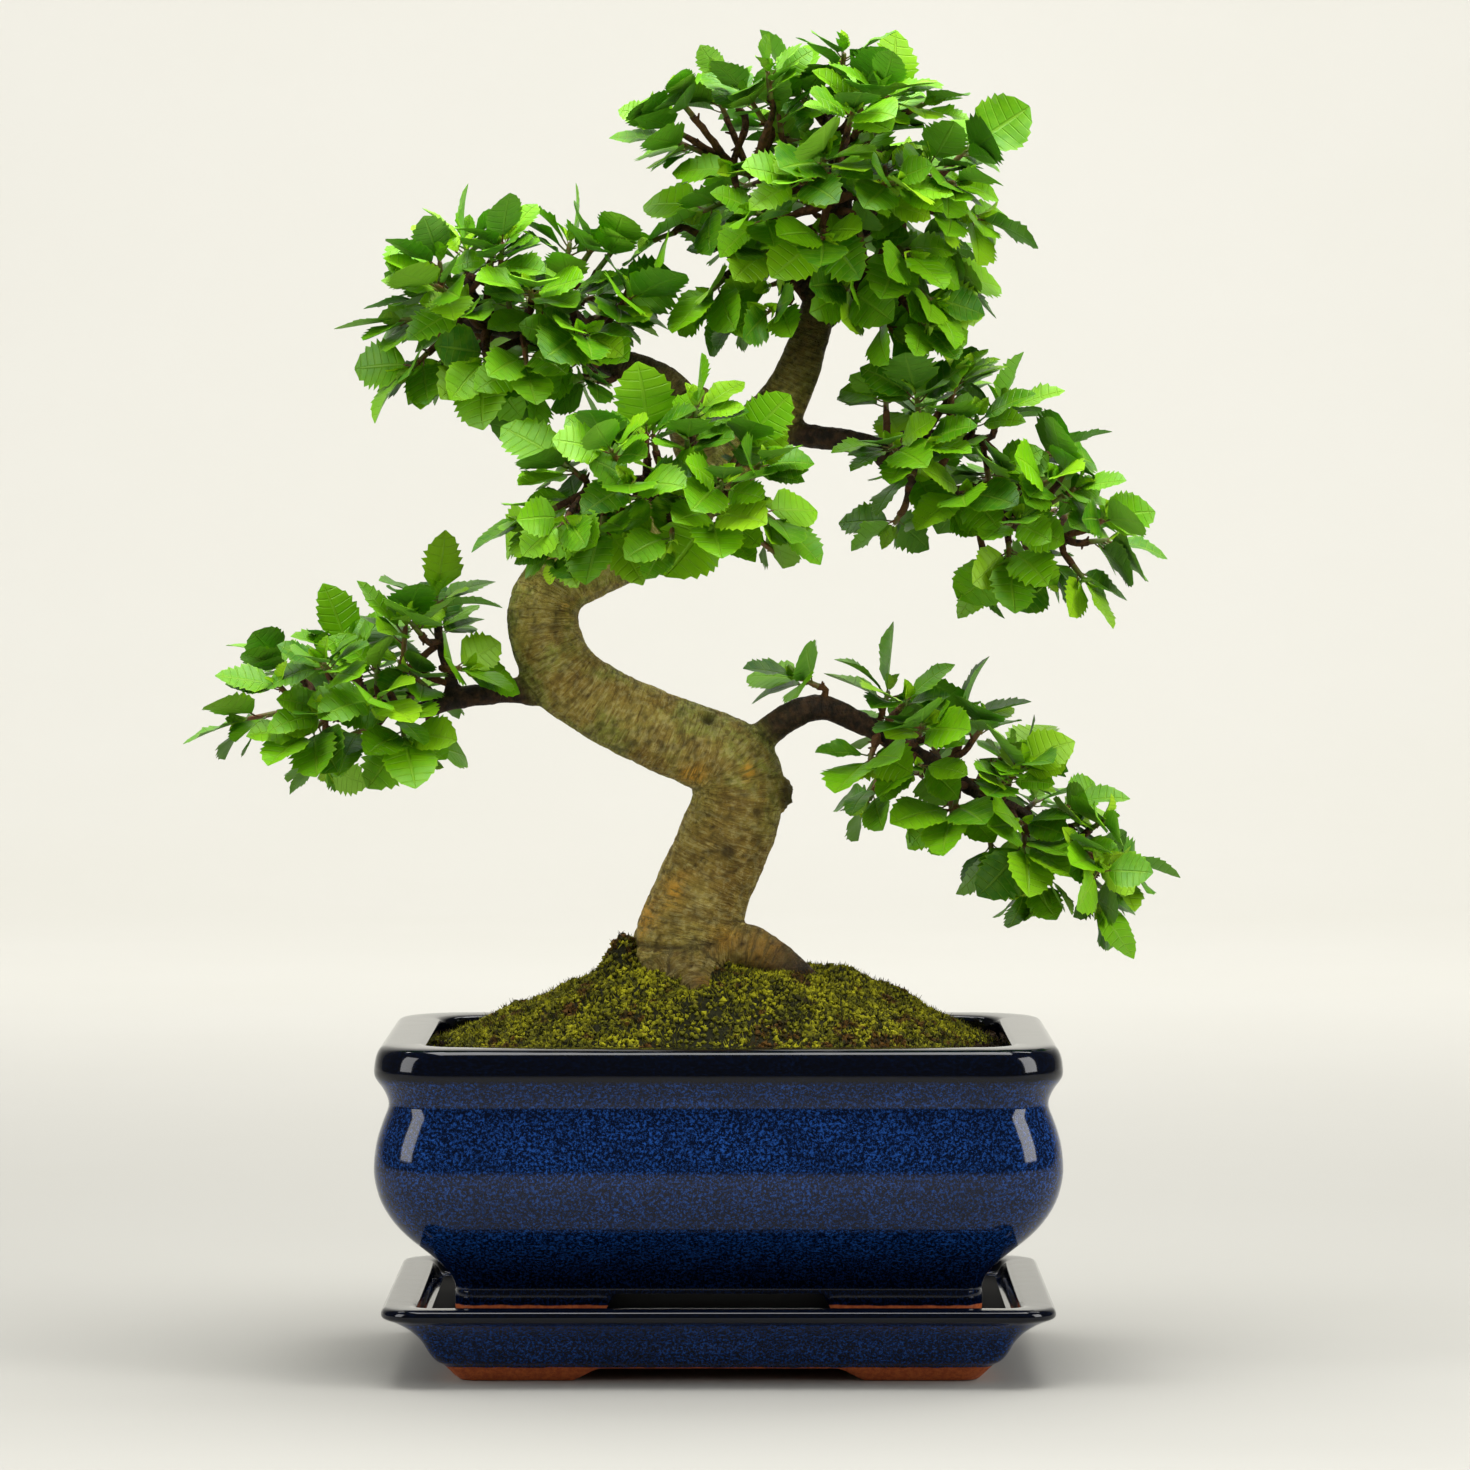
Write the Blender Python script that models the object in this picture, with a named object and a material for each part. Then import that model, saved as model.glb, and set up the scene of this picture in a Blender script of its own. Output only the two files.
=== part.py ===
"""Chinese elm bonsai in a glazed pot on a drip tray.

Metres, +Z up. The whole object stands on z = 0, with the middle of its box over the origin.
Sizes below are millimetres from the middle of the pot; MM turns them into metres.
"""
import math
import random

import bmesh
import bpy
from mathutils import Matrix, Vector
from mathutils.bvhtree import BVHTree

MM = 0.001

# Where the middle of the pot stands in the object's own frame
POT_X = 11.3
POT_Y = 2.7

# Pot: outer size, rim height, corner rounding, and the profile as (inset from the outer size, height)
POT_WIDTH = 210.0
POT_DEPTH = 150.0
POT_CORNER = 22.0
POT_FOOT_Z = 19.3
POT_RECESS_Z = 27.4
POT_FLOOR_Z = 31.5
POT_RIM_Z = 103.4
POT_OUTSIDE = (
    (24.8, POT_FOOT_Z), (24.2, 26.8), (24.6, 29.2), (22.6, 33.2), (17.0, 38.6), (8.2, 45.8), (2.3, 54.2),
    (0.0, 65.2), (0.9, 74.6), (4.4, 84.4), (3.4, 88.2), (1.2, 92.0), (0.4, 96.6), (1.4, 101.6),
    (3.4, POT_RIM_Z),
)
POT_INSIDE = (
    (14.4, POT_RIM_Z), (15.6, 102.2), (15.8, 93.0), (9.0, 79.0), (8.4, 63.0), (16.0, 47.0), (33.0, 34.0),
    (40.0, POT_FLOOR_Z),
)
POT_FOOT_WIDTH = 8.0
POT_FEET_GAP_X = 68.0
POT_FEET_GAP_Y = 52.0
POT_ARCH_TOP_Z = 27.0
DRAIN_RADIUS = 7.0
DRAIN_SPACING = 70.0

# Drip tray: same form of profile, feet cut out of the foot ring
TRAY_WIDTH = 205.0
TRAY_DEPTH = 145.0
TRAY_CORNER = 12.0
TRAY_FLOOR_Z = 19.0
TRAY_RECESS_Z = 12.0
TRAY_FOOT_HEIGHT = 4.8
TRAY_OUTSIDE = (
    (23.0, 0.0), (19.0, TRAY_FOOT_HEIGHT), (16.2, 6.3), (13.7, 9.6), (12.3, 12.9), (9.0, 16.5), (4.2, 19.5),
    (0.6, 21.0), (0.0, 22.6), (0.9, 23.9), (2.2, 24.3),
)
TRAY_INSIDE = ((9.6, 24.3), (10.6, 23.6), (12.0, 19.8), (13.6, TRAY_FLOOR_Z))
TRAY_FOOT_WIDTH = 8.0
TRAY_ARCH_TOP_Z = 4.4
TRAY_FEET_GAP_X = (89.0, 74.0)
TRAY_FEET_GAP_Y = (54.0, 40.0)

# Corners get tighter towards the foot, down to the smallest radius
CORNER_STEPS = 3
CORNER_TIGHTENS = 0.6
SMALLEST_CORNER = 5.0
FOOT_RING_BATTER = 1.0
ARCH_CUT_BELOW = 1.0
TOUCH_GAP = 0.3

# Soil and moss: a low mound that is highest under the trunk
SOIL_EDGE_Z = 98.2
SOIL_WALL_GAP = 0.4
SOIL_EDGE_GAP = 0.5
MOUND_HEIGHT = 24.5
MOUND_SHARPNESS = 1.6
MOUND_HALF_X = 92.0
MOUND_HALF_Y = 60.0
MOSS_HALF_X = 84.0
MOSS_HALF_Y = 53.0
MOSS_RINGS = (0.97, 0.74, 0.48, 0.22)
MOSS_SIDES = 20
MOSS_SQUARENESS = 0.75
MOSS_WANDERS = ((3, 0.6, 0.05), (7, 0.0, 0.03))
MOSS_UNDERSIDE = 0.8
MOSS_TOP = 4.0
MOSS_EDGE_TOP = 2.2
MOUND_SKIRT = 6.0
MOSS_LUMP = 0.9

# Wood: each route is (x, y, z, radius), chosen by hand along the trunk, the roots and the branches
TRUNK = (
    (-12.0, 1, 92, 13.5), (-12.5, 1, 105, 18.5), (-11.0, 1, 118, 18.8), (-9.8, 1, 131, 17.4),
    (-6.2, 1, 144, 15.4), (-0.8, 1, 156, 14.7), (4.4, 0, 169, 14.4), (6.4, -1, 179, 14.0),
    (3.6, -2, 188, 13.4), (-8.0, -3, 192.6, 12.7), (-22.2, -5, 198.4, 12.0), (-37.8, -6, 206.4, 11.6),
    (-47.8, -7, 214.0, 11.7), (-53.4, -7, 224.0, 11.4), (-54.9, -6, 234.0, 11.2),
    (-50.6, -4, 243.4, 11.0), (-39.0, -2, 249.6, 10.6), (-25.6, 0, 256.4, 10.3), (-13.4, 2, 266.4, 10.1),
    (-1.4, 4, 277.6, 10.1), (8.2, 5, 286.0, 9.8), (16.0, 5, 294.4, 8.9), (22.0, 4, 303.6, 7.5),
    (27.0, 3, 316.0, 6.3), (31.4, 2, 330.0, 5.6), (34.0, 1, 342.0, 5.0), (36.6, 0, 354.0, 4.4),
    (37.8, 0, 366.0, 3.8), (36.6, 0, 378.0, 3.0), (33.6, 1, 389.0, 2.2),
)
ROOTS = (
    ((-4, -4, 130, 7.0), (8, -6, 130, 7.2), (18, -8, 126, 5.6), (28, -11, 119, 4.0), (37, -13, 109, 2.6)),
    ((-15, -6, 121, 7.5), (-24, -11, 116, 6.0), (-32, -16, 108, 4.2), (-39, -20, 101, 2.8)),
    ((-9, -8, 120, 8.0), (-7, -18, 116, 6.4), (-4, -28, 109, 4.4), (-2, -37, 100, 3.0)),
    ((-9, 8, 120, 8.0), (-12, 18, 115, 6.2), (-17, 28, 107, 4.2), (-21, 36, 99, 2.8)),
    ((-4, 7, 122, 7.0), (7, 15, 118, 5.4), (18, 22, 111, 3.8), (27, 28, 102, 2.6)),
)
ROOT_HOLE_GAP = 0.5
TRUNK_IN_SOIL = 6
TRUNK_FOOT_CUT = (-1.0, 2.0)
BARK_KNOTS = ((18.6, -3, 177.5, 5.6), (-6.0, -9.5, 300.0, 4.6), (6.0, -12.6, 158.0, 3.2))

# Branches of each foliage pad
BRANCHES = {
    "lower_left": (
        ((-47, -7, 212, 4.6), (-55, -8, 209, 4.3), (-65, -9, 210, 3.9), (-74, -10, 208.6, 3.6),
         (-82, -10, 207.4, 3.4), (-90, -10, 204.4, 2.9), (-99, -10, 203.4, 2.4), (-109, -9, 206.6, 2.0),
         (-118, -8, 208.0, 1.8), (-127, -8, 206.0, 1.6)),
        ((-82, -10, 207.4, 2.4), (-84, -9, 216, 2.1), (-86.6, -8, 225, 1.8), (-87.6, -8, 231, 1.5)),
    ),
    "lower_right": (
        ((3, 0, 187, 5.2), (11, -1, 193.4, 5.0), (22, -2, 201.6, 4.6), (32, -2, 204.6, 4.1),
         (42, -2, 200.6, 3.6), (50, -3, 196.6, 3.3), (61, -3, 190, 3.0), (72, -2, 184.6, 2.6),
         (80, -2, 178, 2.3), (95, -3, 171.4, 2.0), (103, -3, 163, 1.8), (112, -3, 159, 1.6)),
        ((103, -3, 163, 1.7), (109, -4, 156, 1.5), (112, -4, 152.6, 1.3)),
    ),
    "upper_left": (
        ((-3, 4, 276, 8.4), (-7, 2, 286, 7.8), (-9.6, -1, 295, 7.0), (-15, -3, 302.8, 6.2),
         (-22, -3, 308, 5.5), (-36, -2, 313.2, 4.7), (-47.6, -1, 317.4, 4.0), (-58, -1, 320.6, 3.4),
         (-68, -1, 322.6, 2.8), (-77, -2, 323.4, 2.3), (-86, -2, 324.4, 1.8)),
        ((-66, -1, 322.6, 2.4), (-73, 0, 328, 2.1), (-77.4, 1, 334, 1.8), (-78.6, 1, 339, 1.5)),
        ((-36, -2, 313.4, 2.6), (-42, -2, 321, 2.2), (-46, 0, 329, 1.8), (-48, 2, 336, 1.5)),
    ),
    "right": (
        ((16, 5, 292, 4.4), (26, 3, 289.4, 4.0), (41, 0, 287.4, 3.7), (49, -1, 285, 3.6),
         (56, -2, 278.6, 3.5), (69, -2, 272.4, 3.2), (80, -1, 267.4, 2.8), (96, 0, 261, 2.2),
         (107, 0, 257.6, 1.7)),
        ((49, -1, 285, 2.6), (60, -1, 289, 2.3), (72, 0, 289, 2.0), (82, 1, 288, 1.7)),
    ),
    "middle": (
        ((-12, 0, 267, 4.4), (-13, -12, 270, 4.0), (-15, -24, 273, 3.4), (-22, -34, 274.4, 2.8),
         (-32, -40, 273, 2.3), (-41, -42, 271, 1.8)),
        ((-15, -24, 273, 2.6), (-10, -34, 273.6, 2.3), (-3, -41, 272.6, 2.0), (3, -44, 270.4, 1.7)),
    ),
    "crown": (
        ((32, 2, 332, 3.2), (24, 0, 338, 2.8), (16, -2, 341, 2.3), (10, -4, 341, 1.8)),
        ((35, 1, 346, 3.4), (45, 0, 354, 3.0), (56, 0, 361, 2.5), (66, 0, 367, 2.0)),
        ((37, 0, 360, 3.0), (26, -1, 367, 2.6), (14, -2, 371, 2.1), (4, -2, 373, 1.7)),
        ((36, 0, 350, 3.0), (36, -8, 356, 2.6), (34, -17, 361, 2.1)),
        ((36, 0, 352, 3.0), (38, 10, 358, 2.5), (40, 18, 363, 1.9)),
        ((32, 2, 334, 3.0), (42, -4, 338, 2.5), (50, -8, 340, 1.9)),
        ((37, 0, 376, 2.4), (45, 0, 383, 2.0), (48, 0, 387, 1.6)),
    ),
}

# Leafy shoots of each pad: (seat on the twig's end), (heading), stem length, number of leaves
SHOOTS = {
    "lower_left": (
        ((-137, -8, 203), (-1, 0, -0.2), 9, 5), ((-131, 6, 213), (-0.7, 0.3, 0.6), 8, 5),
        ((-122, -20, 201), (-0.5, -0.6, -0.4), 8, 5), ((-105, -22, 207), (-0.1, -1, 0.1), 7, 5),
        ((-113, -2, 215), (-0.3, 0, 0.9), 8, 5), ((-98, -18, 200), (0.1, -0.7, -0.5), 6, 5),
        ((-88, -8, 233), (0, -0.1, 1), 5, 5), ((-84, -15, 217), (0.7, -0.6, 0), 5, 5),
        ((-113, 10, 211), (-0.4, 1, 0.3), 10, 5),
    ),
    "lower_right": (
        ((31, -4, 211), (-0.8, -0.3, 0.4), 6, 5), ((51, 0, 203), (0.3, 0.1, 1), 6, 5),
        ((48, -12, 192), (-0.2, -0.7, -0.6), 5, 4), ((75, -3, 194), (0.2, -0.1, 1), 7, 5),
        ((86, 8, 186), (0.7, 0.6, 0.5), 8, 5), ((74, -12, 177), (-0.2, -0.7, -0.7), 6, 5),
        ((95, -12, 165), (-0.1, -0.8, -0.5), 6, 5), ((103, 0, 171), (0.7, -0.1, 0.3), 6, 5),
        ((118, -2, 158), (1, 0, -0.1), 6, 5), ((115, -5, 149), (0.4, -0.2, -0.9), 5, 5),
    ),
    "upper_left": (
        ((-91, -2, 325), (-1, 0, 0.05), 7, 5), ((-84, 6, 334), (-0.7, 0.3, 0.6), 7, 5),
        ((-90, -9, 315), (-0.7, -0.4, -0.7), 7, 5), ((-72, -12, 313), (0, -0.6, -0.9), 5, 5),
        ((-79, 1, 341), (0, 0, 1), 5, 5), ((-48, 4, 342), (0.2, 0.1, 1), 7, 5),
        ((-58, -14, 331), (0, -1, 0.4), 7, 5), ((-34, -8, 327), (0.7, -0.5, 0.5), 8, 5),
        ((-60, 14, 329), (0, 1, 0.4), 10, 5),
    ),
    "right": (
        ((115, 1, 256), (1, 0.1, 0.1), 6, 5), ((110, -8, 249), (0.6, -0.4, -0.8), 5, 5),
        ((98, 1, 280), (0.8, 0, 0.6), 7, 5), ((86, 2, 291), (0.3, 0, 1), 6, 5),
        ((90, -9, 256), (0, -0.6, -0.8), 5, 5), ((76, -14, 272), (0, -1, -0.1), 6, 5),
        ((62, -9, 295), (-0.1, -0.5, 0.9), 7, 5), ((82, 13, 274), (0.3, 1, 0.3), 10, 5),
    ),
    "middle": (
        ((-49, -43, 267), (-0.9, -0.1, -0.4), 8, 5), ((-42, -38, 276), (-0.7, 0.2, 0.6), 7, 5),
        ((-35, -50, 264), (-0.1, -0.6, -0.8), 5, 5), ((-22, -38, 283), (0, -0.2, 1), 6, 5),
        ((-25, -51, 273), (-0.1, -1, 0.2), 6, 5), ((-3, -52, 267), (0.1, -0.8, -0.6), 6, 5),
        ((11, -47, 267), (0.8, -0.2, -0.6), 7, 5), ((4, -39, 280), (0.5, 0, 0.9), 7, 5),
    ),
    "crown": (
        ((27, 1, 393), (-0.5, 0, 0.9), 5, 6), ((51, 0, 390), (0.3, 0, 2), 5, 5),
        ((-5, -2, 377), (-0.9, 0, 0.4), 7, 6), ((2, -4, 362), (-0.8, -0.3, -0.4), 7, 5),
        ((2, -8, 338), (-0.5, -0.5, -0.5), 6, 5), ((32, -26, 370), (0, -0.9, 0.5), 7, 6),
        ((32, -24, 352), (0, -1, -0.4), 6, 5), ((54, -16, 348), (0.5, -0.7, -0.4), 7, 5),
        ((73, 0, 374), (0.7, 0, 0.7), 7, 6), ((73, -3, 359), (0.9, -0.2, -0.3), 7, 5),
        ((42, 24, 370), (0.1, 1, 0.4), 9, 6),
    ),
}
PAD_CENTRES = {
    "lower_left": (-112, -4, 200), "lower_right": (80, 0, 170), "upper_left": (-66, 0, 318),
    "right": (84, 0, 266), "middle": (-20, -26, 264), "crown": (34, 0, 352),
}

# Twigs run from the branch to the seat and end straight along the shoot's heading
TWIG_RADIUS = 1.1
TWIG_FOOT_RADIUS = 1.6
TWIG_FOOT_SHARE = 0.75
TWIG_END_LENGTH = 5.0
TWIG_END_SHARE = 0.4
STRAIGHT_ENOUGH = 0.97
STEM_RADIUS = 0.95
STEM_TIP_RADIUS = 0.8

# Leaf: blade length, width over length, petiole, and one side of the toothed outline as
# (share of the length, share of the half width)
LEAF_LENGTH = (19.0, 23.5)
LEAF_WIDTH = (0.72, 0.88)
LEAF_PETIOLE = 3.4
LEAF_SIDE = ((0.0, 0.08), (0.20, 0.80), (0.53, 1.0), (0.63, 0.72))
LEAF_CENTRE = 0.46
LEAF_FOLD = 0.16
LEAF_DROOP = 0.14
LEAF_THICKNESS = 1.1
PETIOLE_FOOT = 0.34
PETIOLE_DEPTH = 0.8

# Where leaves stand on a stem, how much smaller they are near its foot, and how they point and face
FIRST_LEAF = 0.3
LAST_SIDE_LEAF = 0.95
SMALLEST_LEAF = 0.74
LEAF_SIZE_GROWS = 1.3
TIP_LEAF_DEPTH = 0.8
PAD_FLATNESS = 0.8
LEVEL_ENOUGH = 0.35
LEAF_TURN = 40
LEAF_FORWARD = (0.35, 0.75)
LEAF_OUTWARD = (0.1, 0.5)
LEAF_HANG = (0.0, 0.3)
FACES_OUTWARD = (0.5, 1.0)
FACES_UP = (0.35, 0.8)
FACES_ASIDE = ((-0.35, 0.35), (-0.5, 0.15), (-0.2, 0.3))
FACING_ENOUGH = 0.2

# A leaf that touches something within reach is drawn again
LEAF_CLEARANCE = 1.3
LEAF_NEAR = 28.0
LEAF_TRIES = 30


def clear_scene():
    for old in list(bpy.data.objects):
        bpy.data.objects.remove(old, do_unlink=True)


def new_collection(name):
    collection = bpy.data.collections.new(name)
    bpy.context.scene.collection.children.link(collection)
    return collection


def new_material(name, colour, roughness):
    material = bpy.data.materials.new(name)
    material.use_nodes = True
    shader = material.node_tree.nodes["Principled BSDF"]
    shader.inputs["Base Color"].default_value = (*colour, 1.0)
    shader.inputs["Roughness"].default_value = roughness
    shader.inputs["Metallic"].default_value = 0.0
    return material


def mesh_object(name, mesh, collection):
    made = bpy.data.objects.new(name, mesh)
    collection.objects.link(made)
    return made


def mesh_from_faces(name, points, faces):
    """A mesh in metres from points in millimetres, with its faces turned outwards."""
    mesh = bpy.data.meshes.new(name)
    mesh.from_pydata([Vector(point) * MM for point in points], [], faces)
    shape = bmesh.new()
    shape.from_mesh(mesh)
    bmesh.ops.recalc_face_normals(shape, faces=shape.faces)
    shape.to_mesh(mesh)
    shape.free()
    return mesh


def loft(rings):
    """Points and faces of a closed solid through rings that all have the same number of points."""
    sides = len(rings[0])
    points = [point for ring in rings for point in ring]
    faces = []
    for row in range(len(rings) - 1):
        for side in range(sides):
            after = (side + 1) % sides
            faces.append((row * sides + side, row * sides + after,
                          (row + 1) * sides + after, (row + 1) * sides + side))
    faces.append(tuple(reversed(range(sides))))
    faces.append(tuple(range((len(rings) - 1) * sides, len(rings) * sides)))
    return points, faces


def rounded_ring(width, depth, corner, inset, height):
    """A level rounded rectangle, inset from the outer size."""
    half_x = width / 2 - inset
    half_y = depth / 2 - inset
    radius = max(corner - inset * CORNER_TIGHTENS, SMALLEST_CORNER)
    ring = []
    for quarter, (sign_x, sign_y) in enumerate(((1, 1), (-1, 1), (-1, -1), (1, -1))):
        middle_x = sign_x * (half_x - radius)
        middle_y = sign_y * (half_y - radius)
        for step in range(CORNER_STEPS + 1):
            angle = math.radians(90 * (quarter + step / CORNER_STEPS))
            ring.append(Vector((middle_x + radius * math.cos(angle),
                                middle_y + radius * math.sin(angle), height)))
    return ring


def cutter_box(name, size_bottom, size_top, across, low, high, along_x, cutters):
    """A bar with slanted sides that cuts the arch between two feet, right through the foot ring."""
    rings = []
    for half, height in ((size_bottom / 2, low), (size_top / 2, high)):
        corners = ((-half, -across), (half, -across), (half, across), (-half, across))
        if along_x:
            corners = ((-across, -half), (across, -half), (across, half), (-across, half))
        rings.append([Vector((x, y, height)) for x, y in corners])
    cutter = mesh_object(name, mesh_from_faces(name, *loft(rings)), cutters)
    cutter.hide_render = True
    cutter.display_type = "WIRE"
    return cutter


def cut_with(piece, cutter):
    cut = piece.modifiers.new("cut", "BOOLEAN")
    cut.operation = "DIFFERENCE"
    cut.object = cutter


def set_smooth(piece, degrees):
    piece.data.shade_smooth()
    piece.data.set_sharp_from_angle(angle=math.radians(degrees))


def make_tray(parts, cutters):
    foot_inset = TRAY_OUTSIDE[0][0] + TRAY_FOOT_WIDTH
    profile = [(foot_inset + FOOT_RING_BATTER, TRAY_RECESS_Z), (foot_inset, 0.0)]
    profile += TRAY_OUTSIDE + TRAY_INSIDE
    rings = [rounded_ring(TRAY_WIDTH, TRAY_DEPTH, TRAY_CORNER, inset, z) for inset, z in profile]
    tray = mesh_object("drip_tray", mesh_from_faces("drip_tray", *loft(rings)), parts)
    cut_with(tray, cutter_box("tray_arch_front", *TRAY_FEET_GAP_X, TRAY_WIDTH,
                              -ARCH_CUT_BELOW, TRAY_ARCH_TOP_Z, False, cutters))
    cut_with(tray, cutter_box("tray_arch_side", *TRAY_FEET_GAP_Y, TRAY_WIDTH,
                              -ARCH_CUT_BELOW, TRAY_ARCH_TOP_Z, True, cutters))
    tray.data.materials.append(new_material("tray_glaze", (0.012, 0.022, 0.085), 0.18))
    set_smooth(tray, 40)


def make_pot(parts, cutters):
    foot_inset = POT_OUTSIDE[0][0] + POT_FOOT_WIDTH
    profile = [(foot_inset + FOOT_RING_BATTER, POT_RECESS_Z), (foot_inset, POT_FOOT_Z)]
    profile += POT_OUTSIDE + POT_INSIDE
    rings = [rounded_ring(POT_WIDTH, POT_DEPTH, POT_CORNER, inset, z) for inset, z in profile]
    pot = mesh_object("pot", mesh_from_faces("pot", *loft(rings)), parts)
    cut_with(pot, cutter_box("pot_arch_front", POT_FEET_GAP_X, POT_FEET_GAP_X, POT_WIDTH,
                             POT_FOOT_Z - ARCH_CUT_BELOW, POT_ARCH_TOP_Z, False, cutters))
    cut_with(pot, cutter_box("pot_arch_side", POT_FEET_GAP_Y, POT_FEET_GAP_Y, POT_WIDTH,
                             POT_FOOT_Z - ARCH_CUT_BELOW, POT_ARCH_TOP_Z, True, cutters))
    for side in (-1, 1):
        bpy.ops.mesh.primitive_cylinder_add(vertices=16, radius=DRAIN_RADIUS * MM, depth=20 * MM,
                                            location=(side * DRAIN_SPACING / 2 * MM, 0,
                                                      (POT_RECESS_Z + POT_FLOOR_Z) / 2 * MM))
        drain = bpy.context.object
        drain.name = "drain_cutter"
        for holder in list(drain.users_collection):
            holder.objects.unlink(drain)
        cutters.objects.link(drain)
        drain.hide_render = True
        drain.display_type = "WIRE"
        cut_with(pot, drain)
    pot.data.materials.append(new_material("pot_glaze", (0.012, 0.022, 0.085), 0.16))
    set_smooth(pot, 40)


def mound(x, y):
    """Height of the soil at a place in the pot."""
    reach = (x / MOUND_HALF_X) ** 2 + (y / MOUND_HALF_Y) ** 2
    return SOIL_EDGE_Z + MOUND_HEIGHT * max(0.0, 1.0 - reach) ** MOUND_SHARPNESS


def squarer(value):
    """Push a sine or cosine outwards, so that a ring drawn with it fills the pot's corners better."""
    return math.copysign(abs(value) ** MOSS_SQUARENESS, value)


def moss_ring(share, lift, lump, draw):
    """One round of the moss carpet, lifted off the soil, with small lumps on its top."""
    ring = []
    for side in range(MOSS_SIDES):
        angle = math.tau * side / MOSS_SIDES
        wander = share * (1.0 + sum(size * math.sin(waves * angle + start)
                                    for waves, start, size in MOSS_WANDERS))
        x = MOSS_HALF_X * wander * squarer(math.cos(angle))
        y = MOSS_HALF_Y * wander * squarer(math.sin(angle))
        ring.append(Vector((x, y, mound(x, y) + lift + draw.uniform(-lump, lump))))
    return ring


def make_soil(parts, holes, cutters):
    """The root ball fills the pot up to a flat edge, with the mound standing on it."""
    rings = [rounded_ring(POT_WIDTH, POT_DEPTH, POT_CORNER, inset + SOIL_WALL_GAP, height + TOUCH_GAP)
             for inset, height in reversed(POT_INSIDE[2:])]
    rings.append(rounded_ring(POT_WIDTH, POT_DEPTH, POT_CORNER, POT_INSIDE[2][0] + SOIL_EDGE_GAP,
                              SOIL_EDGE_Z))
    soil = mesh_object("soil", mesh_from_faces("soil", *loft(rings)), parts)
    steady = random.Random(0)
    dome_rings = [moss_ring(MOSS_RINGS[0], -MOUND_SKIRT, 0.0, steady)]
    dome_rings += [moss_ring(share, 0.0, 0.0, steady) for share in MOSS_RINGS]
    dome = mesh_object("mound_shape", mesh_from_faces("mound_shape", *loft(dome_rings)), cutters)
    dome.hide_render = True
    dome.display_type = "WIRE"
    heap = soil.modifiers.new("mound", "BOOLEAN")
    heap.operation = "UNION"
    heap.object = dome
    cut_by_roots(soil, holes)
    soil.data.materials.append(new_material("potting_soil", (0.045, 0.030, 0.018), 0.95))


def make_moss(parts, holes):
    draw = random.Random(11)
    rings = [moss_ring(share, MOSS_UNDERSIDE, 0.0, draw) for share in reversed(MOSS_RINGS)]
    rings.append(moss_ring(MOSS_RINGS[0], MOSS_EDGE_TOP, 0.0, draw))
    rings += [moss_ring(share, MOSS_TOP, MOSS_LUMP, draw) for share in MOSS_RINGS[1:]]
    moss = mesh_object("moss", mesh_from_faces("moss", *loft(rings)), parts)
    cut_by_roots(moss, holes)
    moss.data.materials.append(new_material("moss_green", (0.075, 0.115, 0.012), 0.95))


def cut_by_roots(piece, holes):
    cut = piece.modifiers.new("root_holes", "BOOLEAN")
    cut.operation = "DIFFERENCE"
    cut.operand_type = "COLLECTION"
    cut.collection = holes


def smooth_route(route, spacing):
    """Points read every few millimetres from the smooth curve through a route's own points."""
    stops = [Vector(stop) for stop in route]
    stops = [stops[0] * 2 - stops[1]] + stops + [stops[-1] * 2 - stops[-2]]
    read = []
    for index in range(1, len(stops) - 2):
        before, here, there, after = stops[index - 1:index + 3]
        steps = max(1, round((there - here).length / spacing))
        for step in range(steps):
            t = step / steps
            read.append(0.5 * (2 * here + (there - before) * t
                               + (2 * before - 5 * here + 4 * there - after) * t * t
                               + (3 * here - before - 3 * there + after) * t * t * t))
    read.append(stops[-2])
    return read


def tube_mesh(name, route, resolution, spacing, fatter=0.0):
    """A tapered tube as a closed mesh: a bevelled poly curve whose points carry the radius."""
    read = smooth_route([Vector((x, y, z, radius)) for x, y, z, radius in route], spacing)
    curve = bpy.data.curves.new(name, "CURVE")
    curve.dimensions = "3D"
    curve.bevel_depth = MM
    curve.bevel_resolution = resolution
    curve.use_fill_caps = True
    curve.render_resolution_u = 0
    spline = curve.splines.new("POLY")
    spline.points.add(len(read) - 1)
    for point, stop in zip(spline.points, read):
        point.co = (stop.x * MM, stop.y * MM, stop.z * MM, 1.0)
        point.radius = stop.w + fatter
    holder = bpy.data.objects.new(name, curve)
    bpy.context.scene.collection.objects.link(holder)
    bpy.context.view_layer.update()
    evaluated = holder.evaluated_get(bpy.context.evaluated_depsgraph_get())
    mesh = bpy.data.meshes.new_from_object(evaluated)
    bpy.data.objects.remove(holder, do_unlink=True)
    bpy.data.curves.remove(curve)
    shape = bmesh.new()
    shape.from_mesh(mesh)
    bmesh.ops.remove_doubles(shape, verts=shape.verts, dist=0.01 * MM)
    bmesh.ops.recalc_face_normals(shape, faces=shape.faces)
    shape.to_mesh(mesh)
    shape.free()
    return mesh


def join_all(piece, members):
    """Fuse a collection's objects into a piece, and remove them."""
    union = piece.modifiers.new("join", "BOOLEAN")
    union.operation = "UNION"
    union.operand_type = "COLLECTION"
    union.collection = members
    bpy.context.view_layer.update()
    evaluated = piece.evaluated_get(bpy.context.evaluated_depsgraph_get())
    fused = bpy.data.meshes.new_from_object(evaluated)
    piece.modifiers.clear()
    piece.data = fused
    for member in list(members.objects):
        bpy.data.objects.remove(member, do_unlink=True)
    bpy.data.collections.remove(members)


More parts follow.
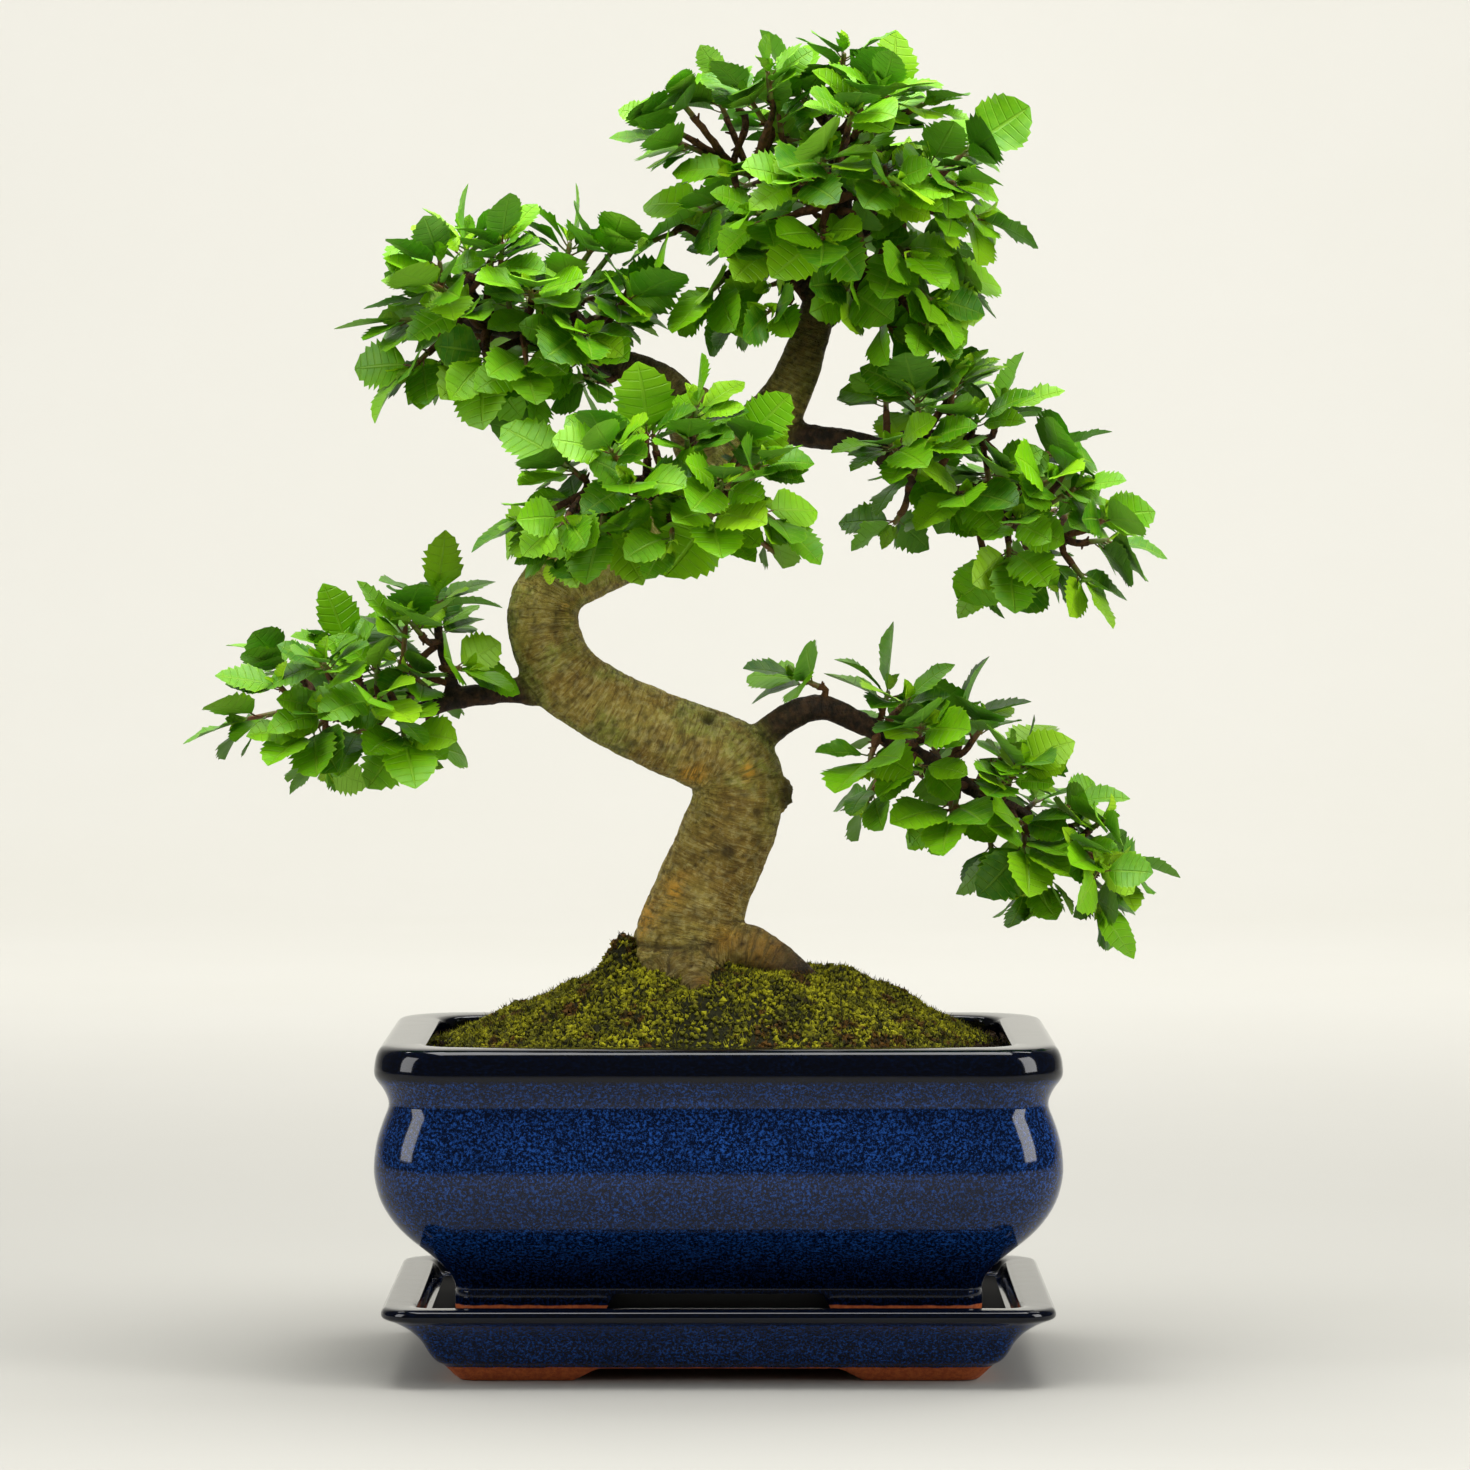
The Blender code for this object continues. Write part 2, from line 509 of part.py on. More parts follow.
def nearest_on_branches(seat, pad):
    """Where the twig to a shoot's seat leaves the pad's branches, and the branch's radius there."""
    best = None
    for route in BRANCHES[pad]:
        for stop in smooth_route([Vector(stop) for stop in route], 4.0):
            away = (Vector(stop[:3]) - seat).length
            if best is None or away < best[0]:
                best = (away, Vector(stop[:3]), stop.w)
    return best[1], best[2]


def twig_route(seat, heading, pad):
    """A woody twig from the branch to the seat, which it reaches along the shoot's heading."""
    foot, foot_radius = nearest_on_branches(seat, pad)
    run = seat - foot
    route = [(*foot, min(TWIG_FOOT_RADIUS, foot_radius * TWIG_FOOT_SHARE))]
    if run.normalized().dot(heading) < STRAIGHT_ENOUGH:
        near = seat - heading * min(TWIG_END_LENGTH, run.length * TWIG_END_SHARE)
        route.append((*near, TWIG_RADIUS))
    return route + [(*seat, TWIG_RADIUS)]


def stem_route(seat, heading, length):
    """The short green stem of a shoot: it starts on the twig's end and leaves it straight."""
    foot = seat + heading * TOUCH_GAP
    tip = foot + heading * length
    return [(*foot, STEM_RADIUS), (*tip, STEM_TIP_RADIUS)]


def leaf_frame(pad, route, heading, index, leaves, draw):
    """Where a leaf stands on its stem, which way it points and faces, and how long and wide it is."""
    last = index == leaves - 1
    share = 1.0 if last else FIRST_LEAF + (LAST_SIDE_LEAF - FIRST_LEAF) * index / (leaves - 1)
    root = Vector(route[0][:3]).lerp(Vector(route[1][:3]), share)
    if last:
        root = root - heading * TIP_LEAF_DEPTH
    outward = root - Vector(PAD_CENTRES[pad])
    outward.z *= PAD_FLATNESS
    outward.normalize()
    up = Vector((0, 0, 1))
    across = heading.cross(up)
    if across.length < LEVEL_ENOUGH:
        across = heading.cross(Vector((0, -1, 0.2)))
    across.normalize()
    side = 0.0 if last else (1.0 if index % 2 else -1.0)
    turn = Matrix.Rotation(math.radians(draw.uniform(-LEAF_TURN, LEAF_TURN)), 3, heading)
    across = turn @ across
    axis = (heading * (1.0 if last else draw.uniform(*LEAF_FORWARD)) + across * side
            + outward * draw.uniform(*LEAF_OUTWARD) - up * draw.uniform(*LEAF_HANG))
    axis.normalize()
    facing = outward * draw.uniform(*FACES_OUTWARD) + up * draw.uniform(*FACES_UP)
    facing += Vector([draw.uniform(*spread) for spread in FACES_ASIDE])
    facing -= axis * facing.dot(axis)
    if facing.length < FACING_ENOUGH:
        facing = across - axis * across.dot(axis)
    facing.normalize()
    length = draw.uniform(*LEAF_LENGTH)
    if not last:
        length *= SMALLEST_LEAF + (1.0 - SMALLEST_LEAF) * min(1.0, share * LEAF_SIZE_GROWS)
    width = length * draw.uniform(*LEAF_WIDTH)
    return root, axis, facing, length, width


def leaf_faces(root, axis, facing, length, width, extra=0.0):
    """Points and faces of one leaf: a toothed blade that is thickest at its midrib, and its petiole."""
    across = axis.cross(facing)
    blade = root + axis * LEAF_PETIOLE

    def spot(along, side, lift):
        fold = LEAF_FOLD * abs(side) * width / 2
        droop = LEAF_DROOP * length * along * along
        return (blade + axis * (along * (length + extra)) + across * (side * (width / 2 + extra))
                + facing * (fold - droop + lift))

    outline = [spot(along, -side, 0.0) for along, side in LEAF_SIDE]
    outline.append(spot(1.0, 0.0, 0.0))
    outline += [spot(along, side, 0.0) for along, side in reversed(LEAF_SIDE)]
    count = len(outline)
    half = (LEAF_THICKNESS + extra * 2) / 2
    points = outline + [spot(LEAF_CENTRE, 0.0, half), spot(LEAF_CENTRE, 0.0, -half),
                        spot(0.0, 0.0, -PETIOLE_DEPTH)]
    top, under, keel = count, count + 1, count + 2
    points += [root - across * PETIOLE_FOOT, root + across * PETIOLE_FOOT, root - facing * PETIOLE_FOOT]
    foot_left, foot_right, foot_keel = count + 3, count + 4, count + 5
    faces = [(edge, edge + 1, top) for edge in range(count - 1)] + [(count - 1, 0, top)]
    faces += [(edge + 1, edge, under) for edge in range(count - 1)]
    faces += [(keel, count - 1, under), (0, keel, under)]
    faces += [(0, count - 1, foot_right, foot_left), (count - 1, keel, foot_keel, foot_right),
              (keel, 0, foot_left, foot_keel), (foot_left, foot_right, foot_keel)]
    return points, faces


def mesh_tree(mesh):
    points = [vertex.co / MM for vertex in mesh.vertices]
    return BVHTree.FromPolygons(points, [tuple(face.vertices) for face in mesh.polygons])


def shoot_plan():
    """Every shoot with its pad, seat, heading, stem route and number of leaves."""
    plan = []
    for pad, shoots in SHOOTS.items():
        for number, (seat, heading, length, leaves) in enumerate(shoots, 1):
            seat = Vector(seat)
            heading = Vector(heading).normalized()
            plan.append({"name": f"shoot_{pad}_{number:02d}", "pad": pad, "seat": seat,
                         "heading": heading, "route": stem_route(seat, heading, length),
                         "leaves": leaves})
    return plan


def clear_leaf(frame, order, wood_tree, stem_trees, placed):
    """The middle and search tree of a leaf that touches no wood, stem or leaf, or None if it does."""
    middle = frame[0] + frame[1] * (LEAF_PETIOLE + frame[3] / 2)
    tree = BVHTree.FromPolygons(*leaf_faces(*frame, extra=LEAF_CLEARANCE / 2))
    if tree.overlap(wood_tree):
        return None
    for near, other in enumerate(stem_trees):
        if near != order and tree.overlap(other):
            return None
    for there, other, owner in placed:
        if (owner == order or (middle - there).length < LEAF_NEAR) and tree.overlap(other):
            return None
    return middle, tree, order


def grow_leaves(plan, wood_tree, stem_trees):
    """Choose each leaf's frame so that it stays clear of the wood, the stems and the other leaves."""
    grown = [[] for _ in plan]
    placed = []
    most = max(shoot["leaves"] for shoot in plan)
    for index in range(most):
        for order, shoot in enumerate(plan):
            if index >= shoot["leaves"]:
                continue
            number = shoot["leaves"] - 1 - index
            draw = random.Random(1000 * order + number)
            for _ in range(LEAF_TRIES):
                frame = leaf_frame(shoot["pad"], shoot["route"], shoot["heading"], number,
                                   shoot["leaves"], draw)
                clear = clear_leaf(frame, order, wood_tree, stem_trees, placed)
                if clear:
                    placed.append(clear)
                    grown[order].append(frame)
                    break
    return grown


def make_wood(parts, plan):
    """Trunk, roots, branches and twigs as one fused piece. Returns a search tree of its faces."""
    bark = new_material("bark", (0.150, 0.115, 0.050), 0.75)
    wood = mesh_object("tree_wood", tube_mesh("tree_wood", TRUNK, 3, 15.0), parts)
    members = new_collection("wood_members")
    tubes = [wood.data]
    for route in ROOTS:
        tubes.append(tube_mesh("root", route, 1, 12.0))
    for routes in BRANCHES.values():
        for route in routes:
            tubes.append(tube_mesh("branch", route, 1, 12.0))
    for shoot in plan:
        tubes.append(tube_mesh("twig", twig_route(shoot["seat"], shoot["heading"], shoot["pad"]), 0, 12.0))
    for tube in tubes[1:]:
        mesh_object("member", tube, members)
    for x, y, z, radius in BARK_KNOTS:
        bpy.ops.mesh.primitive_ico_sphere_add(subdivisions=1, radius=radius * MM,
                                              location=(x * MM, y * MM, z * MM))
        knot = bpy.context.object
        for holder in list(knot.users_collection):
            holder.objects.unlink(knot)
        members.objects.link(knot)
    points = []
    faces = []
    for tube in tubes:
        start = len(points)
        points += [vertex.co / MM for vertex in tube.vertices]
        faces += [tuple(start + corner for corner in face.vertices) for face in tube.polygons]
    tree = BVHTree.FromPolygons(points, faces)
    join_all(wood, members)
    wood.data.materials.clear()
    wood.data.materials.append(bark)
    set_smooth(wood, 50)
    return tree


def make_root_holes():
    """Cutters for the soil and the moss: the foot of the trunk and the roots, a touch fatter."""
    holes = new_collection("root_holes")
    hole = mesh_object("hole", tube_mesh("hole", TRUNK[:TRUNK_IN_SOIL], 3, 15.0, ROOT_HOLE_GAP), holes)
    members = new_collection("hole_members")
    for route in ROOTS:
        mesh_object("hole_root", tube_mesh("hole_root", route, 1, 12.0, ROOT_HOLE_GAP), members)
    join_all(hole, members)
    x, y, z, radius = TRUNK[0]
    foot = tube_mesh("hole_foot", [(x, y, z + cut, radius) for cut in TRUNK_FOOT_CUT], 3, 8.0, ROOT_HOLE_GAP)
    mesh_object("hole_foot", foot, holes)
    for cutter in holes.objects:
        cutter.hide_render = True
        cutter.display_type = "WIRE"
    return holes


def make_shoots(parts, plan, wood_tree):
    green = new_material("leaf_green", (0.070, 0.290, 0.008), 0.45)
    stems = [tube_mesh(shoot["name"], shoot["route"], 0, 8.0) for shoot in plan]
    stem_trees = [mesh_tree(stem) for stem in stems]
    grown = grow_leaves(plan, wood_tree, stem_trees)
    for shoot, stem, frames in zip(plan, stems, grown):
        piece = mesh_object(shoot["name"], stem, parts)
        members = new_collection("leaf_members")
        for frame in frames:
            mesh_object("leaf", mesh_from_faces("leaf", *leaf_faces(*frame)), members)
        join_all(piece, members)
        piece.data.materials.clear()
        piece.data.materials.append(green)


def place_on_frame(parts):
    """Stand everything on one empty at the middle of the pot."""
    stand = bpy.data.objects.new("pot_middle", None)
    parts.objects.link(stand)
    stand.location = (POT_X * MM, POT_Y * MM, 0.0)
    return stand


def main():
    clear_scene()
    parts = new_collection("elm_bonsai")
    cutters = new_collection("cutters")
    make_tray(parts, cutters)
    make_pot(parts, cutters)
    holes = make_root_holes()
    make_soil(parts, holes, cutters)
    make_moss(parts, holes)
    plan = shoot_plan()
    wood_tree = make_wood(parts, plan)
    make_shoots(parts, plan, wood_tree)
    stand = place_on_frame(parts)
    for group in (parts, cutters, holes):
        for piece in group.objects:
            if piece is not stand:
                piece.parent = stand
    bpy.context.view_layer.update()


main()
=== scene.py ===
"""Chinese elm bonsai in a glazed pot on its drip tray: the look of every surface.

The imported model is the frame. Sizes below are millimetres from the middle of the pot, and each
mesh is moved to metres in the frame when it is made.
"""
import math
import random

import bmesh
import bpy
import numpy as np
from mathutils import Matrix, Vector, noise
from mathutils.bvhtree import BVHTree
from mathutils.kdtree import KDTree


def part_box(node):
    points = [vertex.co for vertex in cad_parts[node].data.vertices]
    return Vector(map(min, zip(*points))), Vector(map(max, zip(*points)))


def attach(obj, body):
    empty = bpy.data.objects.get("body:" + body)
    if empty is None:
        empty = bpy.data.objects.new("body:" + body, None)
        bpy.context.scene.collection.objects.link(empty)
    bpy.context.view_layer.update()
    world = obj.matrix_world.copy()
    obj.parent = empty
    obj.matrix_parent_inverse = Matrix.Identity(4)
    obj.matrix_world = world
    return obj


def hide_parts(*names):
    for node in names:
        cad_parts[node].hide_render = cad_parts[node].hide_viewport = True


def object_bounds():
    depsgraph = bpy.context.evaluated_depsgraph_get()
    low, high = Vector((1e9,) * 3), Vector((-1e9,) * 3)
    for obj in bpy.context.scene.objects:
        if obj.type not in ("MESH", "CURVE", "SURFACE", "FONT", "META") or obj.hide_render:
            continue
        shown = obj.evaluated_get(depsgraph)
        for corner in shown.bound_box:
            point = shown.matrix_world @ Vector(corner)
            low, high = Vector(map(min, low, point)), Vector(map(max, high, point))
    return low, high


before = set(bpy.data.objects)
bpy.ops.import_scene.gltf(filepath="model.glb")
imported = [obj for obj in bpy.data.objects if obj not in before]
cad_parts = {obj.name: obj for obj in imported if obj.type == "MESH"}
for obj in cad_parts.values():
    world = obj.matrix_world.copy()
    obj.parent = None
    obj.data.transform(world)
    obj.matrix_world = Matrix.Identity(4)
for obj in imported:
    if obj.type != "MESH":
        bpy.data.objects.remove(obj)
cad_box = [list(corner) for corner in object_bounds()]

# Drip tray
# A slip-cast stoneware tray with a flared lip. It is dipped in navy glaze down to its four feet,
# which are wiped back to the red clay, and it is fired in one piece and stands loose.
MM = 0.001
pot_low, pot_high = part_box("pot")
POT_MIDDLE = np.array(((pot_low.x + pot_high.x) / 2, (pot_low.y + pot_high.y) / 2, 0.0))
CORNER_STEPS = 14
LONG_STEPS = 60
SHORT_STEPS = 44
SOFTEN_ROUNDS = 2

TRAY_SIZE = (205.0, 145.0, 12.0)
TRAY_FEET_TOP = 4.4
TRAY_FLOOR_Z = 19.0
TRAY_ARCHES = ((89.0, 74.0), (54.0, 40.0))
TRAY_PROFILE = (
    (60.0, 12.0), (32.5, 12.0), (32.0, 11.4), (31.2, 0.8), (30.6, 0.0), (23.8, 0.0), (22.7, 0.5),
    (19.2, 4.4), (18.2, 5.4), (16.2, 6.5), (13.9, 9.6), (12.3, 13.0), (9.2, 16.3), (4.4, 19.4), (1.0, 20.6),
    (0.0, 21.4), (0.0, 22.9), (0.8, 24.1), (2.2, 24.4), (8.4, 24.3), (10.0, 23.9), (10.9, 22.6), (12.0, 20.2),
    (13.4, 19.2), (15.5, 19.0), (60.0, 19.0),
)


def linear(red, green, blue):
    """A colour as seen on screen, 0 to 255, as the shader's linear values."""
    seen = np.array((red, green, blue)) / 255.0
    return (*np.where(seen <= 0.04045, seen / 12.92, ((seen + 0.055) / 1.055) ** 2.4).tolist(), 1.0)


def soften(profile, rounds):
    """Cut every corner of an open line, a few rounds over, so that edges look fired."""
    line = np.array(profile, float)
    for _ in range(rounds):
        near = line[:-1] * 0.75 + line[1:] * 0.25
        far = line[:-1] * 0.25 + line[1:] * 0.75
        middle = np.stack((near, far), axis=1).reshape(-1, line.shape[1])
        line = np.vstack((line[:1], middle[1:-1], line[-1:]))
    return line


def rounded_ring(size, inset, height):
    """A level rounded rectangle, inset from the outer size, with evenly divided sides."""
    width, depth, corner = size
    half_x = width / 2 - inset
    half_y = depth / 2 - inset
    radius = max(corner - inset * 0.6, 5.0)
    arcs = []
    for quarter, (sign_x, sign_y) in enumerate(((1, 1), (-1, 1), (-1, -1), (1, -1))):
        turn = np.radians(90 * (quarter + np.linspace(0, 1, CORNER_STEPS + 1)))
        arcs.append(np.stack((sign_x * (half_x - radius) + radius * np.cos(turn),
                              sign_y * (half_y - radius) + radius * np.sin(turn)), axis=1))
    ring = []
    for quarter, arc in enumerate(arcs):
        after = arcs[(quarter + 1) % 4][0]
        steps = LONG_STEPS if quarter % 2 == 0 else SHORT_STEPS
        share = np.linspace(0, 1, steps + 1)[1:-1, None]
        ring += [arc, arc[-1] + (after - arc[-1]) * share]
    ring = np.vstack(ring)
    return np.column_stack((ring, np.full(len(ring), height)))


def lift_arches(points, foot, top, arches):
    """Raise the foot ring between the feet, to arches with sloping ends."""
    raised = points[:, 2].copy()
    for axis, (wide, narrow) in enumerate(arches):
        ramp = np.clip((wide / 2 - np.abs(points[:, axis])) / ((wide - narrow) / 2), 0, 1)
        raised = np.maximum(raised, np.where(ramp > 0, foot + (top - foot) * ramp, 0))
    points[:, 2] = raised


def loft_faces(rows, sides, start=0):
    """The faces that join rings of points, with a cap at each end."""
    faces = []
    for row in range(rows - 1):
        for side in range(sides):
            after = (side + 1) % sides
            faces.append((start + row * sides + side, start + row * sides + after,
                          start + (row + 1) * sides + after, start + (row + 1) * sides + side))
    faces.append(tuple(start + side for side in reversed(range(sides))))
    faces.append(tuple(start + (rows - 1) * sides + side for side in range(sides)))
    return faces


def new_piece(name, points, faces, smooth=45, turned=True):
    """A mesh object in the frame, from points in millimetres round the middle of the pot."""
    mesh = bpy.data.meshes.new(name)
    mesh.from_pydata((np.asarray(points) * MM + POT_MIDDLE).tolist(), [], faces)
    if turned:
        shape = bmesh.new()
        shape.from_mesh(mesh)
        bmesh.ops.recalc_face_normals(shape, faces=shape.faces)
        shape.to_mesh(mesh)
        shape.free()
    mesh.shade_smooth()
    mesh.set_sharp_from_angle(angle=math.radians(smooth))
    piece = bpy.data.objects.new(name, mesh)
    bpy.context.scene.collection.objects.link(piece)
    return piece


def settle(piece, slot, *nodes):
    """A finished piece rides on the one body and stands for the nodes, which it hides. The slot is not used."""
    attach(piece, "root")
    if nodes:
        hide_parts(*nodes)


def turned_ware(name, size, profile, foot, feet_top, arches):
    """A pot or tray: a soft profile carried round a rounded rectangle. Its underside is left bare."""
    line = soften(profile, SOFTEN_ROUNDS)
    rings = [rounded_ring(size, inset, height) for inset, height in line]
    points = np.vstack(rings)
    lift_arches(points, foot, feet_top, arches)
    piece = new_piece(name, points, loft_faces(len(rings), len(rings[0])))
    under = np.repeat(np.arange(len(rings)) <= np.argmin(line[:, 1]), len(rings[0])) * 1.0
    piece.data.attributes.new("under", "FLOAT", "POINT").data.foreach_set("value", under)
    return piece


def put(tree, kind, inputs=None, output=0, **settings):
    """Add a shader node, set or link its inputs, and return one of its outputs."""
    made = tree.nodes.new("ShaderNode" + kind)
    for name, value in settings.items():
        setattr(made, name, value)
    for name, value in (inputs or {}).items():
        if isinstance(value, bpy.types.NodeSocket):
            tree.links.new(value, made.inputs[name])
        else:
            made.inputs[name].default_value = value
    return made.outputs[output]


def blend(tree, share, low, high, mode="MIX"):
    """Mix two colours by a share between 0 and 1."""
    return put(tree, "Mix", {0: share, 6: low, 7: high}, 2, data_type="RGBA", blend_type=mode)


def ramp(tree, value, low, high, out_low=0.0, out_high=1.0):
    """Read a value between two limits as a smooth share."""
    return put(tree, "MapRange", {0: value, 1: low, 2: high, 3: out_low, 4: out_high},
               interpolation_type="SMOOTHSTEP")


def sums(tree, operation, first, second):
    return put(tree, "Math", {0: first, 1: second}, operation=operation)


def new_group(name, inputs, outputs):
    """A shader node group with named sockets: its tree, what it is given and what it puts out."""
    group = bpy.data.node_groups.new(name, "ShaderNodeTree")
    for label, kind, value in inputs:
        socket = group.interface.new_socket(name=label, in_out="INPUT", socket_type="NodeSocket" + kind)
        socket.default_value = value
    for label, kind in outputs:
        group.interface.new_socket(name=label, in_out="OUTPUT", socket_type="NodeSocket" + kind)
    return group, group.nodes.new("NodeGroupInput").outputs, group.nodes.new("NodeGroupOutput").inputs


def use_group(tree, group, values):
    """Place a group in a material with its own values, and return its outputs."""
    made = tree.nodes.new("ShaderNodeGroup")
    made.node_tree = group
    for name, value in values.items():
        if isinstance(value, bpy.types.NodeSocket):
            tree.links.new(value, made.inputs[name])
        else:
            made.inputs[name].default_value = value
    return made.outputs


def new_material(name, **fixed):
    """A material with its Principled shader, and the values that are the same all over it."""
    material = bpy.data.materials.new(name)
    material.use_nodes = True
    shader = material.node_tree.nodes["Principled BSDF"]
    for label, value in fixed.items():
        shader.inputs[label.replace("_", " ")].default_value = value
    return material, material.node_tree, shader.inputs


def bump(tree, height, distance, strength=1.0):
    return put(tree, "Bump", {"Height": height, "Distance": distance, "Strength": strength})


NAVY = linear(2, 13, 38)
FLECK = linear(34, 80, 158)
GLAZE_PAINTED_SHADE = linear(2, 3, 8)
RED_CLAY = linear(196, 102, 50)
BURNT_CLAY = linear(164, 78, 38)

glaze_group, given, made = new_group(
    "fired glaze",
    (("Clay line", "Float", 0.005), ("Rim shade line", "Float", 0.09), ("Low shade line", "Float", 0.04)),
    (("Color", "Color"), ("Roughness", "Float"), ("Height", "Float")))
place = put(glaze_group, "TexCoord", output="Object")
level = put(glaze_group, "SeparateXYZ", {0: place}, "Z")
flecks = put(glaze_group, "TexNoise", {"Vector": place, "Scale": 1150.0, "Detail": 3.0, "Roughness": 0.8})
clouds = put(glaze_group, "TexNoise", {"Vector": place, "Scale": 60.0, "Detail": 4.0, "Roughness": 0.6})
share = sums(glaze_group, "MULTIPLY", ramp(glaze_group, flecks, 0.46, 0.66),
             ramp(glaze_group, clouds, 0.25, 0.75, 0.6, 1.0))
glazed = blend(glaze_group, share, NAVY, FLECK)
# Painted dark reflection and painted shade: the glaze goes near black above the rim shade line, and darkens below the
# low shade line towards the foot.
rim = ramp(glaze_group, level, sums(glaze_group, "SUBTRACT", given["Rim shade line"], 0.0016), given["Rim shade line"])
low_painted_shade = ramp(glaze_group, level, sums(glaze_group, "SUBTRACT", given["Low shade line"], 0.016),
            given["Low shade line"], 1.0, 0.0)
painted_shade = sums(glaze_group, "MAXIMUM", rim, sums(glaze_group, "MULTIPLY", low_painted_shade, 0.85))
glazed = blend(glaze_group, sums(glaze_group, "MULTIPLY", painted_shade, 0.95), glazed, GLAZE_PAINTED_SHADE)
wander = put(glaze_group, "TexNoise", {"Vector": place, "Scale": 160.0, "Detail": 3.0})
wiped = sums(glaze_group, "ADD", level, sums(glaze_group, "MULTIPLY", wander, 0.001))
clay = ramp(glaze_group, wiped, sums(glaze_group, "ADD", given["Clay line"], 0.0004),
            sums(glaze_group, "ADD", given["Clay line"], 0.0009), 1.0, 0.0)
clay = sums(glaze_group, "MAXIMUM", clay, put(glaze_group, "Attribute", {}, "Fac", attribute_name="under"))
grit = put(glaze_group, "TexNoise", {"Vector": place, "Scale": 700.0, "Detail": 5.0, "Roughness": 0.7})
bare = blend(glaze_group, ramp(glaze_group, grit, 0.35, 0.65), BURNT_CLAY, RED_CLAY)
glaze_group.links.new(blend(glaze_group, clay, glazed, bare), made["Color"])
glaze_group.links.new(ramp(glaze_group, clay, 0.0, 1.0, 0.08, 0.6), made["Roughness"])
peel = put(glaze_group, "TexNoise", {"Vector": place, "Scale": 130.0, "Detail": 2.0})
glaze_group.links.new(sums(glaze_group, "ADD", sums(glaze_group, "MULTIPLY", peel, 0.35),
                           sums(glaze_group, "MULTIPLY", grit, clay)), made["Height"])


def glaze_material(name, clay_line, rim_shade_line, low_shade_line):
    material, tree, shader = new_material(name, IOR=1.38)
    fired = use_group(tree, glaze_group, {"Clay line": clay_line * MM, "Rim shade line": rim_shade_line * MM,
                                          "Low shade line": low_shade_line * MM})
    tree.links.new(fired["Color"], shader["Base Color"])
    tree.links.new(fired["Roughness"], shader["Roughness"])
    tree.links.new(bump(tree, fired["Height"], 0.00012), shader["Normal"])
    return material


tray = turned_ware("glazed_tray", TRAY_SIZE, TRAY_PROFILE, 0.0, TRAY_FEET_TOP, TRAY_ARCHES)
tray.data.materials.append(glaze_material("tray_glaze_navy", 4.6, 20.8, 8.0))
# Painted shade: the tray's glazed floor, round and under the pot, is given a dark matt material so that it reads as
# shaded.
floor_shade, tree, shader = new_material("tray_floor_painted_shade", Base_Color=linear(12, 13, 18), Roughness=0.7,
                                  Specular_IOR_Level=0.08)
tray.data.materials.append(floor_shade)
for face in tray.data.polygons:
    if abs(face.center.z / MM - TRAY_FLOOR_Z) < 0.3 and face.normal.z > 0.9:
        face.material_index = 1
settle(tray, "tray_glaze", "drip_tray")

# Pot
# The same stoneware and glaze: a rounded belly under a flat, turned-out rim, with a bare clay foot
# ring that is cut away between four feet, and two drain holes. It rests on the floor of the tray.
POT_SIZE = (210.0, 150.0, 22.0)
POT_FOOT_Z = 19.3
POT_FEET_TOP = 27.0
POT_ARCHES = ((70.0, 66.0), (54.0, 50.0))
POT_PROFILE = (
    (60.0, 27.4), (33.8, 27.4), (33.4, 26.8), (32.8, 20.4), (32.2, POT_FOOT_Z), (25.8, POT_FOOT_Z),
    (25.0, 19.7), (24.3, 22.0), (24.2, 26.6), (24.6, 29.0), (22.6, 33.2), (17.0, 38.6), (8.2, 45.8),
    (2.3, 54.2), (0.0, 62.5), (0.0, 68.4), (0.9, 74.6), (2.8, 80.4), (4.5, 84.4), (4.4, 86.8), (2.8, 90.2),
    (0.9, 92.6), (0.0, 94.6), (0.3, 98.2), (1.0, 101.0), (2.3, 102.9), (4.6, 103.5), (13.0, 103.4),
    (15.0, 103.0), (15.8, 101.6), (15.8, 93.0), (9.0, 79.0), (8.4, 63.0), (16.0, 47.0), (33.0, 34.0),
    (40.0, 31.5), (60.0, 31.5),
)
DRAIN_Z = 29.4
DRAIN_RADIUS = 7.0
DRAIN_SPACING = 70.0

pot = turned_ware("glazed_pot", POT_SIZE, POT_PROFILE, POT_FOOT_Z, POT_FEET_TOP, POT_ARCHES)
for side in (-1, 1):
    spot = Vector(POT_MIDDLE) + Vector((side * DRAIN_SPACING / 2, 0, DRAIN_Z)) * MM
    bpy.ops.mesh.primitive_cylinder_add(vertices=48, radius=DRAIN_RADIUS * MM, depth=16 * MM, location=spot)
    drain = bpy.context.object
    hole = pot.modifiers.new("drain", "BOOLEAN")
    hole.operation = "DIFFERENCE"
    hole.object = drain
    bpy.context.view_layer.update()
    cut = bpy.data.meshes.new_from_object(pot.evaluated_get(bpy.context.evaluated_depsgraph_get()))
    pot.modifiers.clear()
    pot.data = cut
    bpy.data.objects.remove(drain, do_unlink=True)
pot.data.materials.clear()
pot.data.materials.append(glaze_material("pot_glaze_navy", 23.2, 94.2, 44.0))
settle(pot, "pot_glaze", "pot")

# Soil
# Dark gritty potting soil fills the pot and rises to a mound under the trunk. It shows at the two
# ends of the pot and along its sides, where loose crumbs lie between the moss and the wall.
SOIL_EDGE_Z = 98.2
MOUND_HEIGHT = 24.5
MOUND_SHARPNESS = 1.6
MOUND_HALF = (92.0, 60.0)
SOIL_WALL_INSET = 16.4
SOIL_RINGS = 34
CRUMB_COUNT = 1500
CRUMB_SIZE = (0.5, 1.5)
SOIL_BLACK = linear(22, 16, 9)
SOIL_BROWN = linear(78, 56, 30)


def mound(x, y):
    """Height of the soil at a place in the pot."""
    reach = (x / MOUND_HALF[0]) ** 2 + (y / MOUND_HALF[1]) ** 2
    return SOIL_EDGE_Z + MOUND_HEIGHT * max(0.0, 1.0 - reach) ** MOUND_SHARPNESS


